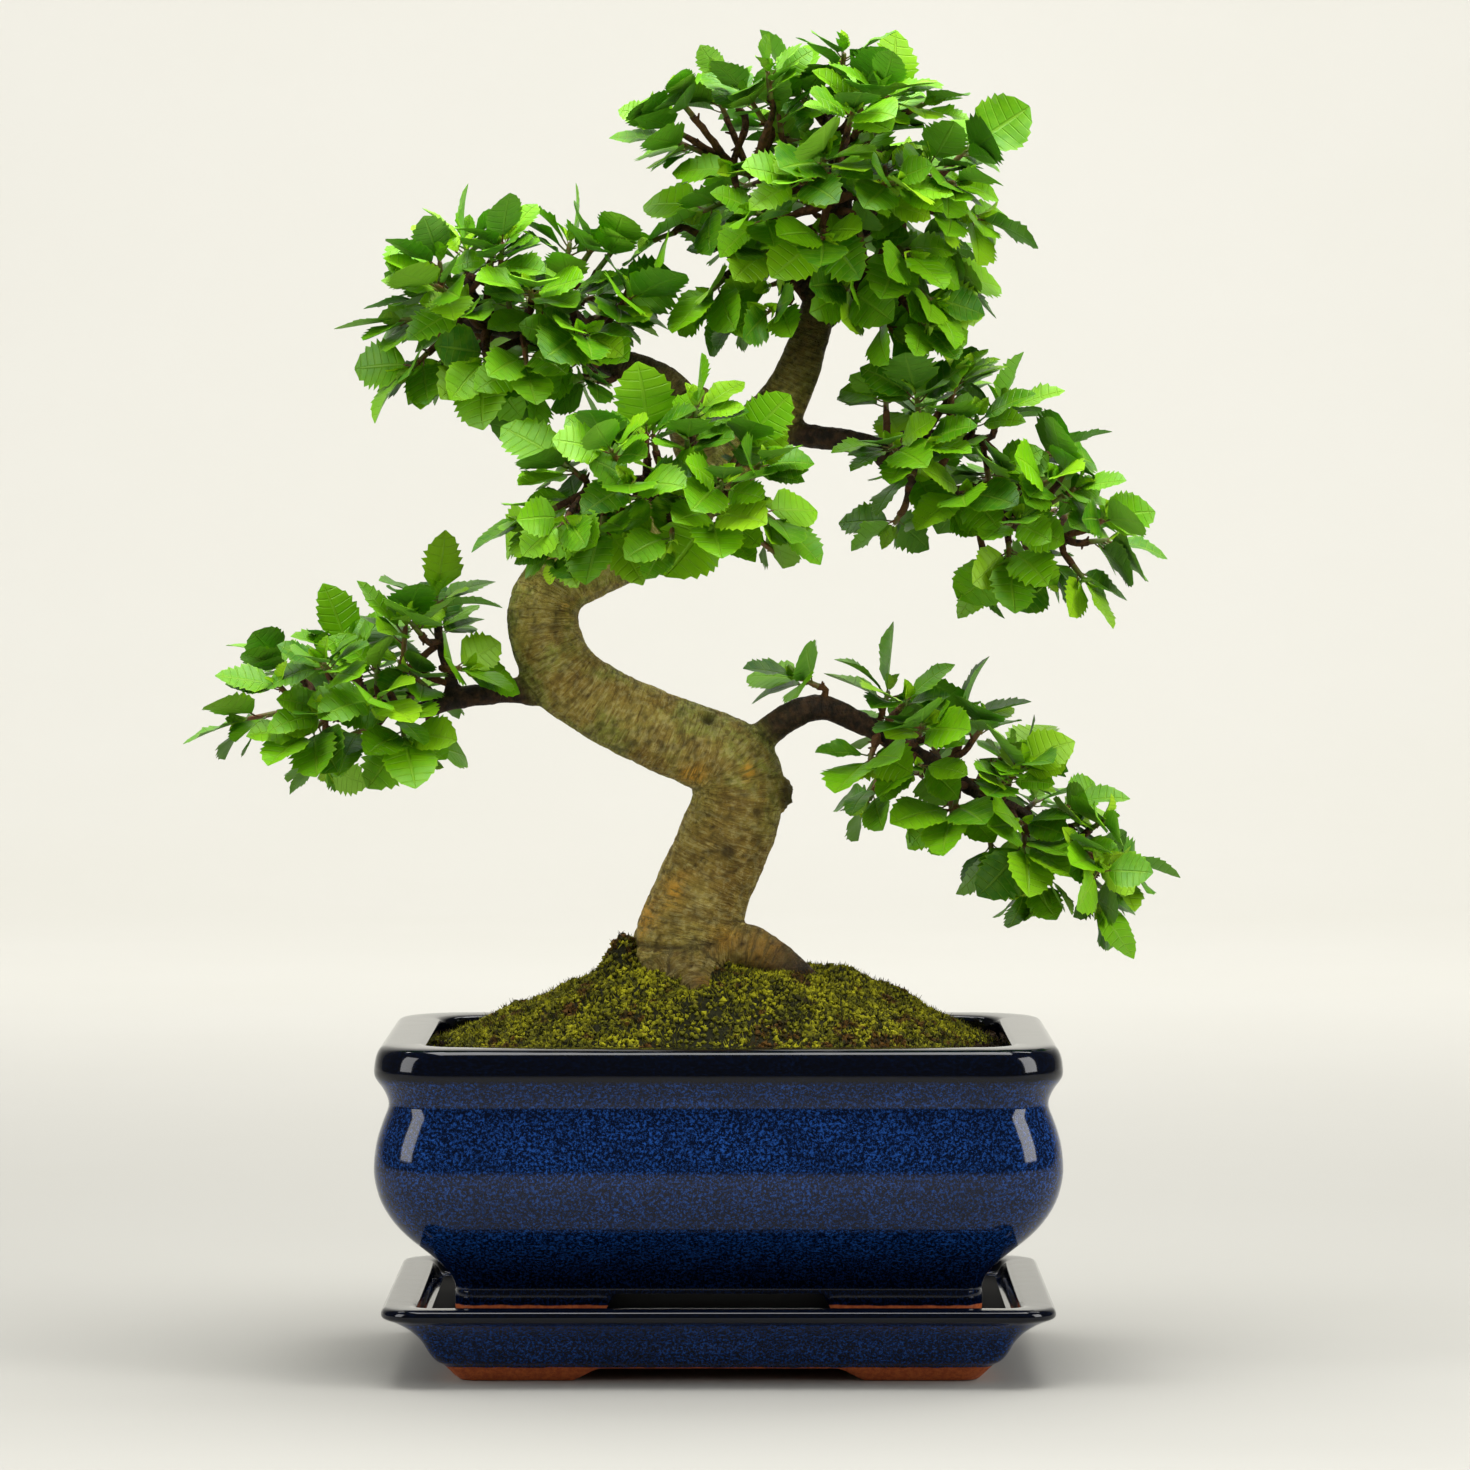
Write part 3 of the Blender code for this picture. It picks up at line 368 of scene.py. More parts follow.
def lumps(x, y, z, size, seed=0.0):
    """Even noise between -1 and 1 with lumps of a given size."""
    return noise.noise(Vector((x / size + seed, y / size - seed, z / size)))


def soil_height(x, y):
    return mound(x, y) + 0.7 * lumps(x, y, 0, 5.0) + 0.4 * lumps(x, y, 0, 1.7)


mottle_group, given, made = new_group(
    "mottle",
    (("Vector", "Vector", (0.0, 0.0, 0.0)), ("Scale", "Float", 100.0), ("Spread", "Float", 0.15),
     ("Low", "Color", (0.0, 0.0, 0.0, 1.0)), ("High", "Color", (1.0, 1.0, 1.0, 1.0))),
    (("Color", "Color"), ("Mask", "Float")))
patches = put(mottle_group, "TexNoise", {"Vector": given["Vector"], "Scale": given["Scale"], "Detail": 5.0,
                                         "Roughness": 0.62})
share = ramp(mottle_group, patches, sums(mottle_group, "SUBTRACT", 0.5, given["Spread"]),
             sums(mottle_group, "ADD", 0.5, given["Spread"]))
mottle_group.links.new(blend(mottle_group, share, given["Low"], given["High"]), made["Color"])
mottle_group.links.new(share, made["Mask"])

soil_material, tree, shader = new_material("potting_soil", Roughness=0.95, Specular_IOR_Level=0.2)
place = put(tree, "TexCoord", output="Object")
grains = use_group(tree, mottle_group, {"Vector": place, "Scale": 900.0, "Low": SOIL_BLACK,
                                        "High": SOIL_BROWN})
tree.links.new(grains["Color"], shader["Base Color"])
tree.links.new(bump(tree, grains["Mask"], 0.0006), shader["Normal"])

wall = rounded_ring(POT_SIZE, SOIL_WALL_INSET, 84.0)
rings = [wall]
for step in range(SOIL_RINGS):
    ring = wall.copy()
    ring[:, :2] *= 1.0 - step / SOIL_RINGS
    ring[:, 2] = [soil_height(x, y) for x, y in ring[:, :2]]
    rings.append(ring)
soil = new_piece("potting_soil_surface", np.vstack(rings), loft_faces(len(rings), len(wall)), 80)
soil.data.materials.append(soil_material)
settle(soil, "soil", "soil")

OCTAHEDRON = np.array(((1, 0, 0), (-1, 0, 0), (0, 1, 0), (0, -1, 0), (0, 0, 1), (0, 0, -1)), float)
OCTAHEDRON_FACES = ((0, 2, 4), (2, 1, 4), (1, 3, 4), (3, 0, 4), (2, 0, 5), (1, 2, 5), (3, 1, 5), (0, 3, 5))
draw = random.Random(5)
points = []
faces = []
while len(points) < CRUMB_COUNT * 6:
    x = draw.uniform(-88, 88)
    y = draw.uniform(-58, 58)
    if (x / 84) ** 4 + (y / 52) ** 4 < 0.6 or abs(x) + abs(y) > 140:
        continue
    size = draw.uniform(*CRUMB_SIZE) * draw.uniform(0.5, 1.0)
    squash = np.array([[draw.uniform(0.6, 1.2) for _ in range(3)] for _ in range(6)])
    turn = np.array(Matrix.Rotation(draw.uniform(0, 3), 3, (draw.random(), draw.random(), draw.random() + 0.1)))
    middle = np.array((x, y, soil_height(x, y) + size * 0.35))
    faces += [tuple(len(points) + corner for corner in face) for face in OCTAHEDRON_FACES]
    points += list((OCTAHEDRON * squash * size) @ turn.T + middle)
crumbs = new_piece("soil_crumbs", points, faces, 30)
crumbs.data.materials.append(soil_material)
settle(crumbs, "soil")

# Moss
# A living carpet over the mound: small cushions of short green tufts that run together, in brighter patches
# and brown in the dips, banked up against the foot of the trunk. Painted light and shade: each bud and tuft
# is lighter at its crown and darker at its foot, and the carpet under them is painted near black.
MOSS_MIDDLE_X = -3.5
MOSS_HALF = (85.0, 55.0)
MOSS_TOP = 3.4
MOSS_RINGS = 60
MOSS_SIDES = 210
MOSS_SKIRT_Z = 95.0
BUD_COUNT = 15000
BUD_SIZE = (0.5, 1.15)
BLADE_COUNT = 15000
BLADE_HEIGHT = (1.2, 2.8)
BLADE_WIDTH = 0.24
# Banks of moss against the trunk and roots, as (x, y, how high, how wide)
MOSS_BANKS = ((-30.0, -4.0, 11.0, 6.5), (-26.0, 12.0, 7.0, 8.0), (42.0, -8.0, 4.0, 9.0), (22.0, -26.0, 2.0, 8.0),
              (-8.0, -40.0, 2.0, 10.0), (55.0, 6.0, 2.0, 9.0), (-8.0, -20.0, -3.0, 9.0), (12.0, -14.0, -2.0, 8.0))
MOSS_PAINTED_SHADE = linear(30, 30, 2)
MOSS_GREEN = linear(98, 98, 2)
MOSS_BRIGHT = linear(186, 182, 24)
MOSS_BROWN = linear(96, 64, 10)


def moss_spot(share, angle):
    """A place on the moss's top, from the middle (0) to its ragged edge (1)."""
    wander = 1.0 + 0.04 * math.sin(3 * angle + 0.6) + 0.03 * math.sin(7 * angle)
    ragged = 1.0 + 0.06 * noise.noise(Vector((math.cos(angle) * 6, math.sin(angle) * 6, 1.5)))
    x = MOSS_HALF[0] * wander * ragged * share * math.copysign(abs(math.cos(angle)) ** 0.75, math.cos(angle))
    y = MOSS_HALF[1] * wander * ragged * share * math.copysign(abs(math.sin(angle)) ** 0.75, math.sin(angle))
    x += MOSS_MIDDLE_X
    thick = MOSS_TOP * (1.0 - share ** 9)
    cushion = (1.5 * lumps(x, y, 0, 13.0, 3.0) + 1.2 * abs(lumps(x, y, 0, 5.5)) + 0.8 * abs(lumps(x, y, 0, 2.6))
               + 0.4 * lumps(x, y, 0, 1.2))
    banks = sum(high * math.exp(-((x - at_x) ** 2 + (y - at_y) ** 2) / wide ** 2)
                for at_x, at_y, high, wide in MOSS_BANKS)
    return Vector((x, y, mound(x, y) + thick + cushion * (1.0 - share ** 6) + banks))


angles = [math.tau * side / MOSS_SIDES for side in range(MOSS_SIDES)]
rings = [[moss_spot(row / MOSS_RINGS, angle) for angle in angles] for row in range(1, MOSS_RINGS + 1)]
rings.append([Vector((spot.x, spot.y, MOSS_SKIRT_Z)) for spot in rings[-1]])
moss = new_piece("moss_carpet", [tuple(spot) for ring in rings for spot in ring],
                 loft_faces(len(rings), MOSS_SIDES), 80)

draw = random.Random(17)
points = []
faces = []
painted_lights = []
for bud in range(BUD_COUNT):
    foot = moss_spot(math.sqrt(draw.random()) * draw.choice((1.0, 1.0, 1.0, 1.03)), draw.uniform(0, math.tau))
    size = draw.uniform(*BUD_SIZE)
    squash = np.array([[draw.uniform(0.6, 1.3) for _ in range(3)] for _ in range(6)])
    turn = np.array(Matrix.Rotation(draw.uniform(0, 3), 3, (draw.random(), draw.random(), draw.random() + 0.1)))
    faces += [tuple(len(points) + corner for corner in face) for face in OCTAHEDRON_FACES]
    corners = (OCTAHEDRON * squash * size) @ turn.T
    points += list(corners + np.array(foot) + np.array((0, 0, size * 0.3)))
    bright = draw.uniform(0.25, 1.0)
    # Painted light and shade: a bud's upper corners are lighter and its lower corners darker.
    painted_lights += [bright * (0.45 + 0.55 * min(1.0, max(0.0, 0.5 + z / size))) for z in corners[:, 2]]
for tuft in range(BLADE_COUNT):
    foot = moss_spot(math.sqrt(draw.random()) * 1.03, draw.uniform(0, math.tau))
    lean = Vector((draw.uniform(-0.8, 0.8), draw.uniform(-0.8, 0.8), 1.0)).normalized()
    height = draw.uniform(*BLADE_HEIGHT)
    across = lean.cross(Vector((draw.uniform(-1, 1), draw.uniform(-1, 1), 0.1))).normalized() * BLADE_WIDTH
    beside = lean.cross(across)
    start = len(points)
    points += [tuple(foot + across), tuple(foot - across * 0.5 + beside * 0.87),
               tuple(foot - across * 0.5 - beside * 0.87), tuple(foot + lean * height)]
    faces += [(start, start + 1, start + 3), (start + 1, start + 2, start + 3),
              (start + 2, start, start + 3), (start + 2, start + 1, start)]
    painted_light = draw.random()
    # Painted shade: a blade's foot is half as light as its tip.
    painted_lights += [painted_light * 0.5] * 3 + [painted_light]
tufts = new_piece("moss_tufts", points, faces, 20)
tufts.data.attributes.new("painted_light", "FLOAT", "POINT").data.foreach_set("value", painted_lights)
# Painted shade: the carpet under the tufts is set near black.
moss.data.attributes.new("painted_light", "FLOAT", "POINT").data.foreach_set("value", [0.1] * len(moss.data.vertices))

moss_material, tree, shader = new_material("living_moss", Roughness=0.8, Specular_IOR_Level=0.25)
place = put(tree, "TexCoord", output="Object")
painted_light = put(tree, "Attribute", {}, "Fac", attribute_name="painted_light")
cushions = use_group(tree, mottle_group, {"Vector": place, "Scale": 110.0, "Spread": 0.16, "Low": MOSS_GREEN,
                                          "High": MOSS_BRIGHT})
dips = use_group(tree, mottle_group, {"Vector": place, "Scale": 75.0, "Spread": 0.1, "Low": MOSS_BROWN,
                                      "High": MOSS_GREEN})
green = blend(tree, ramp(tree, dips["Mask"], 0.0, 0.2), dips["Color"], cushions["Color"])
# Painted light and shade: the moss goes towards near black where its painted light is low.
green = blend(tree, ramp(tree, painted_light, 0.08, 0.85), MOSS_PAINTED_SHADE, green)
tree.links.new(green, shader["Base Color"])
for piece in (moss, tufts):
    piece.data.materials.append(moss_material)
settle(moss, "moss", "moss")
settle(tufts, "moss")

# Trunk, roots and branches
# One living piece of wood: smooth olive bark that wrinkles across the trunk, rubbed through to ochre
# at the foot, with a cut knot and small scars. The thin branches are rougher and red-brown.
TRUNK = (
    (-12.0, 1, 92, 13.5), (-12.5, 1, 105, 18.5), (-11.0, 1, 118, 18.8), (-9.8, 1, 131, 17.4),
    (-6.2, 1, 144, 15.4), (-0.8, 1, 156, 14.7), (4.4, 0, 169, 14.4), (6.4, -1, 179, 14.0),
    (3.6, -2, 188, 13.4), (-8.0, -3, 192.6, 12.7), (-22.2, -5, 198.4, 12.0), (-37.8, -6, 206.4, 11.6),
    (-47.8, -7, 214.0, 11.7), (-53.4, -7, 224.0, 11.4), (-54.9, -6, 234.0, 11.2),
    (-50.6, -4, 243.4, 11.0), (-39.0, -2, 249.6, 10.6), (-25.6, 0, 256.4, 10.3), (-13.4, 2, 266.4, 10.1),
    (-1.4, 4, 277.6, 10.1), (8.2, 5, 286.0, 9.8), (16.0, 5, 294.4, 8.9), (22.0, 4, 303.6, 7.5),
    (27.0, 3, 316.0, 6.3), (31.4, 2, 330.0, 5.6), (34.0, 1, 342.0, 5.0), (36.6, 0, 354.0, 4.4),
    (37.8, 0, 366.0, 3.8), (36.6, 0, 378.0, 3.0), (33.6, 1, 389.0, 2.2),
)
ROOTS = (
    ((-4, -4, 130, 7.0), (8, -6, 130, 7.2), (18, -8, 126, 5.6), (28, -11, 119, 4.0), (37, -13, 109, 2.6)),
    ((-15, -6, 121, 7.5), (-24, -11, 116, 6.0), (-32, -16, 108, 4.2), (-39, -20, 101, 2.8)),
    ((-9, -8, 120, 8.0), (-7, -18, 116, 6.4), (-4, -28, 109, 4.4), (-2, -37, 100, 3.0)),
    ((-9, 8, 120, 8.0), (-12, 18, 115, 6.2), (-17, 28, 107, 4.2), (-21, 36, 99, 2.8)),
    ((-4, 7, 122, 7.0), (7, 15, 118, 5.4), (18, 22, 111, 3.8), (27, 28, 102, 2.6)),
)
BARK_KNOTS = ((18.6, -3, 177.5, 5.6), (-6.0, -9.5, 300.0, 4.6), (6.0, -12.6, 158.0, 3.2))
BRANCHES = {
    "lower_left": (
        ((-47, -7, 212, 4.6), (-55, -8, 209, 4.3), (-65, -9, 210, 3.9), (-74, -10, 208.6, 3.6),
         (-82, -10, 207.4, 3.4), (-90, -10, 204.4, 2.9), (-99, -10, 203.4, 2.4), (-109, -9, 206.6, 2.0),
         (-118, -8, 208.0, 1.8), (-127, -8, 206.0, 1.6)),
        ((-82, -10, 207.4, 2.4), (-84, -9, 216, 2.1), (-86.6, -8, 225, 1.8), (-87.6, -8, 231, 1.5)),
    ),
    "lower_right": (
        ((3, 0, 187, 5.2), (11, -1, 193.4, 5.0), (22, -2, 201.6, 4.6), (32, -2, 204.6, 4.1),
         (42, -2, 200.6, 3.6), (50, -3, 196.6, 3.3), (61, -3, 190, 3.0), (72, -2, 184.6, 2.6),
         (80, -2, 178, 2.3), (95, -3, 171.4, 2.0), (103, -3, 163, 1.8), (112, -3, 159, 1.6)),
        ((103, -3, 163, 1.7), (109, -4, 156, 1.5), (112, -4, 152.6, 1.3)),
    ),
    "upper_left": (
        ((-3, 4, 276, 8.4), (-7, 2, 286, 7.8), (-9.6, -1, 295, 7.0), (-15, -3, 302.8, 6.2),
         (-22, -3, 308, 5.5), (-36, -2, 313.2, 4.7), (-47.6, -1, 317.4, 4.0), (-58, -1, 320.6, 3.4),
         (-68, -1, 322.6, 2.8), (-77, -2, 323.4, 2.3), (-86, -2, 324.4, 1.8)),
        ((-66, -1, 322.6, 2.4), (-73, 0, 328, 2.1), (-77.4, 1, 334, 1.8), (-78.6, 1, 339, 1.5)),
        ((-36, -2, 313.4, 2.6), (-42, -2, 321, 2.2), (-46, 0, 329, 1.8), (-48, 2, 336, 1.5)),
    ),
    "right": (
        ((16, 5, 292, 4.4), (26, 3, 289.4, 4.0), (41, 0, 287.4, 3.7), (49, -1, 285, 3.6),
         (56, -2, 278.6, 3.5), (69, -2, 272.4, 3.2), (80, -1, 267.4, 2.8), (96, 0, 261, 2.2),
         (107, 0, 257.6, 1.7)),
        ((49, -1, 285, 2.6), (60, -1, 289, 2.3), (72, 0, 289, 2.0), (82, 1, 288, 1.7)),
    ),
    "middle": (
        ((-12, 0, 267, 4.4), (-13, -12, 270, 4.0), (-15, -24, 273, 3.4), (-22, -34, 274.4, 2.8),
         (-32, -40, 273, 2.3), (-41, -42, 271, 1.8)),
        ((-15, -24, 273, 2.6), (-10, -34, 273.6, 2.3), (-3, -41, 272.6, 2.0), (3, -44, 270.4, 1.7)),
    ),
    "crown": (
        ((32, 2, 332, 3.2), (24, 0, 338, 2.8), (16, -2, 341, 2.3), (10, -4, 341, 1.8)),
        ((35, 1, 346, 3.4), (45, 0, 354, 3.0), (56, 0, 361, 2.5), (66, 0, 367, 2.0)),
        ((37, 0, 360, 3.0), (26, -1, 367, 2.6), (14, -2, 371, 2.1), (4, -2, 373, 1.7)),
        ((36, 0, 350, 3.0), (36, -8, 356, 2.6), (34, -17, 361, 2.1)),
        ((36, 0, 352, 3.0), (38, 10, 358, 2.5), (40, 18, 363, 1.9)),
        ((32, 2, 334, 3.0), (42, -4, 338, 2.5), (50, -8, 340, 1.9)),
        ((37, 0, 376, 2.4), (45, 0, 383, 2.0), (48, 0, 387, 1.6)),
    ),
}
BARK_VOXEL = 1.1
# Scars and pits in the bark, as (x, y, z, width, depth)
BARK_SCARS = ((-3.4, -11.0, 201.0, 2.6, 1.6), (8.6, -14.5, 186.0, 1.8, -0.8), (2.6, -14.0, 160.0, 3.0, 0.7),
              (-14.0, -16.0, 139.0, 2.4, 0.6), (-53.0, -17.0, 243.0, 2.0, 0.6), (-27.0, -16.0, 193.0, 2.2, 0.5),
              (-47.0, -17.0, 226.0, 1.6, -0.5), (12.0, -13.0, 172.0, 1.8, 0.5))
# Places where the bark is rubbed through to ochre, as (x, y, z, width)
BARK_RUBS = ((-13.0, -10.0, 147.0, 6.0), (-22.0, -6.0, 138.0, 6.5), (-25.0, -12.0, 114.0, 7.0),
             (15.0, -11.0, 127.0, 9.0), (-8.0, -11.0, 184.0, 5.0), (9.0, -14.5, 185.0, 3.0),
             (2.0, -14.0, 133.0, 5.0), (-45.0, -16.0, 236.0, 4.0), (-4.0, -20.0, 117.0, 6.0))
CUT_KNOT = (23.0, -5.0, 177.0, 6.5)


def smooth_route(route, spacing):
    """Points read every few millimetres from the smooth curve through a route's own points."""
    stops = [Vector(stop) for stop in route]
    stops = [stops[0] * 2 - stops[1]] + stops + [stops[-1] * 2 - stops[-2]]
    read = []
    for index in range(1, len(stops) - 2):
        before, here, there, after = stops[index - 1:index + 3]
        steps = max(1, round((there - here).length / spacing))
        for step in range(steps):
            t = step / steps
            read.append(0.5 * (2 * here + (there - before) * t
                               + (2 * before - 5 * here + 4 * there - after) * t * t
                               + (3 * here - before - 3 * there + after) * t * t * t))
    read.append(stops[-2])
    return read


def route_frames(read):
    """The place, direction and two sides of each point of a route, without twist, and its radius."""
    spots = [Vector(stop[:3]) for stop in read]
    frames = []
    side = None
    for index, spot in enumerate(spots):
        ahead = (spots[min(index + 1, len(spots) - 1)] - spots[max(index - 1, 0)]).normalized()
        if side is None:
            side = ahead.cross(Vector((0.3, 1.0, 0.1))).normalized()
        side = (side - ahead * side.dot(ahead)).normalized()
        frames.append((spot, ahead, side, ahead.cross(side), read[index][3]))
    return frames


def fine_tube(route, sides, spacing, uneven=0.0, seed=0.0, rounded=True):
    """Points and faces of a closed round tube along a route, with rounded or flat ends."""
    frames = route_frames(smooth_route([Vector((x, y, z, radius)) for x, y, z, radius in route], spacing))
    rings = []
    for index, (spot, ahead, side, beside, radius) in enumerate(frames):
        stages = ((0.0, 1.0),)
        if rounded and index == 0:
            stages = ((-0.75, 0.5), (-0.35, 0.85), (0.0, 1.0))
        elif rounded and index == len(frames) - 1:
            stages = ((0.0, 1.0), (0.35, 0.85), (0.75, 0.5))
        for forward, share in stages:
            ring = []
            for step in range(sides):
                angle = math.tau * step / sides
                out = side * math.cos(angle) + beside * math.sin(angle)
                swell = 1.0
                if uneven:
                    swell += uneven * noise.noise(Vector((out.x * 1.5 + seed, out.y * 1.5, index * 0.55 + seed)))
                ring.append(tuple(spot + ahead * forward * radius + out * radius * share * swell))
            rings.append(ring)
    points = [point for ring in rings for point in ring]
    return points, loft_faces(len(rings), sides)


def joined(shapes):
    """Several lists of points and faces as one."""
    points = []
    faces = []
    for more_points, more_faces in shapes:
        faces += [tuple(len(points) + corner for corner in face) for face in more_faces]
        points += more_points
    return points, faces


thick_routes = [TRUNK, *ROOTS] + [route for routes in BRANCHES.values() for route in routes]
shapes = [fine_tube(route, 28 if route[0][3] > 6 else 16, 2.0) for route in thick_routes]
wood = new_piece("elm_wood", *joined(shapes))
for x, y, z, radius in BARK_KNOTS:
    bpy.ops.mesh.primitive_ico_sphere_add(subdivisions=3, radius=radius * MM,
                                          location=Vector(POT_MIDDLE) + Vector((x, y, z)) * MM)
    knot = bpy.context.object
    shape = bmesh.new()
    shape.from_mesh(wood.data)
    knot.data.transform(knot.matrix_world)
    shape.from_mesh(knot.data)
    shape.to_mesh(wood.data)
    shape.free()
    bpy.data.objects.remove(knot, do_unlink=True)
skin = wood.modifiers.new("skin", "REMESH")
skin.mode = "VOXEL"
skin.voxel_size = BARK_VOXEL * MM
relax = wood.modifiers.new("relax", "SMOOTH")
relax.factor = 0.5
relax.iterations = 4
bpy.context.view_layer.update()
fused = bpy.data.meshes.new_from_object(wood.evaluated_get(bpy.context.evaluated_depsgraph_get()))
wood.modifiers.clear()
wood.data = fused

samples = []
for route in thick_routes:
    run = 0.0
    before = None
    for spot, ahead, side, beside, radius in route_frames(smooth_route(route, 3.0)):
        run += (spot - before).length if before is not None else 0.0
        before = spot
        samples.append((spot, ahead, side, beside, radius, run + 400.0 * thick_routes.index(route)))
near_wood = KDTree(len(samples))
for index, sample in enumerate(samples):
    near_wood.insert(sample[0], index)
near_wood.balance()

grain = []
thickness = []
creases_and_shade = []
rubs = []
moved = []
middle = Vector(POT_MIDDLE)
for vertex in wood.data.vertices:
    spot = (vertex.co - middle) / MM
    found = near_wood.find_n(spot, 12)
    index = min(found, key=lambda hit: hit[2] - samples[hit[1]][4])[1]
    centre, ahead, side, beside, radius, run = samples[index]
    away = spot - centre
    along = run + away.dot(ahead)
    out = Vector((away.dot(side), away.dot(beside)))
    out = out.normalized() if out.length > 0.01 else Vector((1.0, 0.0))
    nearest = away.length - radius
    shares = [(math.exp(-max(0.0, hit[2] - samples[hit[1]][4] - nearest) / 1.6), samples[hit[1]][4]) for hit in found]
    radius = sum(share * value for share, value in shares) / sum(share for share, _ in shares)
    stout = min(1.0, max(0.0, (radius - 3.0) / 9.0))
    ridge = noise.noise(Vector((out.x * 1.7, out.y * 1.7, along / 3.1)))
    finer = noise.noise(Vector((out.x * 3.4 + 7, out.y * 3.4, along / 1.7)))
    crease_and_shade = max(0.0, 1.0 - abs(ridge) * 7.0) * 0.7 + max(0.0, 1.0 - abs(finer) * 6.0) * 0.4
    swell = (0.9 * lumps(*spot, 17.0) + 0.35 * lumps(*spot, 7.0) + 0.28 * lumps(*spot, 2.4, 6.0)) * stout
    rough = (1.0 - stout) * (0.32 * lumps(*spot, 3.0, 5.0) + 0.18 * lumps(*spot, 1.5, 9.0))
    flare = math.exp(-((spot.z - 130.5 - 0.8 * lumps(*spot, 9.0)) / 0.9) ** 2) if radius > 12 else 0.0
    lift = swell + rough - crease_and_shade * (0.12 + 0.22 * stout) - 0.7 * flare
    from_cut = (spot - Vector(CUT_KNOT[:3])).length / CUT_KNOT[3]
    if from_cut < 1:
        lift += 1.4 * lumps(*spot, 1.8, 2.0) - 1.3 * (1 - from_cut)
        crease_and_shade = max(crease_and_shade, min(1.0, (1 - from_cut) * 3))
    for x, y, z, width, depth in BARK_SCARS:
        reach = (spot - Vector((x, y, z))).length / width
        if reach < 3:
            lift += depth * (0.5 * math.exp(-((reach - 1.3) / 0.35) ** 2) - math.exp(-(reach / 0.8) ** 2))
            crease_and_shade = max(crease_and_shade, math.exp(-(reach / 0.9) ** 2) * (1.3 if depth > 0 else 0.0))
    moved.append(vertex.co + vertex.normal * lift * MM)
    grain += [out.x * radius, out.y * radius, along]
    thickness.append(radius)
    # Painted shade: this value, with the groove at the foot, darkens the bark in its creases, scar pits and the cut
    # knot.
    creases_and_shade.append(min(1.0, crease_and_shade + flare))
    rub = max(math.exp(-((spot - Vector(place[:3])).length / place[3]) ** 2) for place in BARK_RUBS)
    rubs.append(min(1.0, max(0.0, 1.5 * rub + 0.5 * lumps(*spot, 4.0, 4.0) - 0.25)) if rub > 0.1 else 0.0)
for vertex, place in zip(wood.data.vertices, moved):
    vertex.co = place
values = wood.data.attributes.new("grain", "FLOAT_VECTOR", "POINT")
values.data.foreach_set("vector", grain)
values = wood.data.attributes.new("thickness", "FLOAT", "POINT")
values.data.foreach_set("value", thickness)
values = wood.data.attributes.new("crease_and_shade", "FLOAT", "POINT")
values.data.foreach_set("value", creases_and_shade)
values = wood.data.attributes.new("rub", "FLOAT", "POINT")
values.data.foreach_set("value", rubs)
wood.data.shade_smooth()

BARK_OLIVE = linear(196, 176, 80)
BARK_BROWN = linear(158, 126, 50)
BARK_GREEN = linear(172, 172, 72)
BARK_OCHRE = linear(234, 176, 58)
BARK_PALE = linear(226, 212, 136)
BARK_RED = linear(84, 58, 36)
BARK_LINE = linear(112, 86, 34)
BARK_DARK = linear(34, 24, 13)

bark_material, tree, shader = new_material("elm_bark", Specular_IOR_Level=0.3)
place = put(tree, "TexCoord", output="Object")
level = put(tree, "SeparateXYZ", {0: place}, "Z")
run = put(tree, "Attribute", {}, "Vector", attribute_name="grain")
stout = ramp(tree, put(tree, "Attribute", {}, "Fac", attribute_name="thickness"), 4.0, 9.5)
crease_and_shade = put(tree, "Attribute", {}, "Fac", attribute_name="crease_and_shade")
rub = put(tree, "Attribute", {}, "Fac", attribute_name="rub")
across = put(tree, "VectorMath", {0: run, 1: (0.14, 0.14, 1.0)}, operation="MULTIPLY")
base = use_group(tree, mottle_group, {"Vector": place, "Scale": 48.0, "Spread": 0.22, "Low": BARK_BROWN,
                                      "High": BARK_OLIVE})
mossy = use_group(tree, mottle_group, {"Vector": place, "Scale": 60.0, "Spread": 0.1, "Low": BARK_OLIVE,
                                       "High": BARK_GREEN})
green_zone = sums(tree, "MULTIPLY", ramp(tree, level, 0.15, 0.19), ramp(tree, level, 0.28, 0.32, 1.0, 0.0))
bark = blend(tree, sums(tree, "MULTIPLY", green_zone, mossy["Mask"]), base["Color"], mossy["Color"])
rings = put(tree, "TexNoise", {"Vector": across, "Scale": 0.62, "Detail": 6.0, "Roughness": 0.7})
lines = put(tree, "TexNoise", {"Vector": across, "Scale": 1.25, "Detail": 4.0, "Roughness": 0.62, "Distortion": 0.6})
specks = use_group(tree, mottle_group, {"Vector": place, "Scale": 420.0, "Spread": 0.1})
bark = blend(tree, ramp(tree, rings, 0.54, 0.74, 0.0, 0.35), bark, BARK_PALE)
bark = blend(tree, ramp(tree, rings, 0.32, 0.48, 0.35, 0.0), bark, BARK_BROWN)
bark = blend(tree, ramp(tree, specks["Mask"], 0.75, 1.0, 0.0, 0.35), bark, BARK_PALE)
bark = blend(tree, ramp(tree, specks["Mask"], 0.0, 0.25, 0.25, 0.0), bark, BARK_DARK)
bark = blend(tree, ramp(tree, lines, 0.36, 0.49, 0.62, 0.0), bark, BARK_LINE)
bark = blend(tree, ramp(tree, lines, 0.53, 0.66, 0.0, 0.45), bark, BARK_PALE)
bark = blend(tree, sums(tree, "MULTIPLY", rub, ramp(tree, lines, 0.4, 0.56, 0.15, 0.9)), bark, BARK_OCHRE)
branchlet = use_group(tree, mottle_group, {"Vector": place, "Scale": 330.0, "Spread": 0.14,
                                           "Low": BARK_DARK, "High": BARK_RED})
bark = blend(tree, stout, branchlet["Color"], bark)
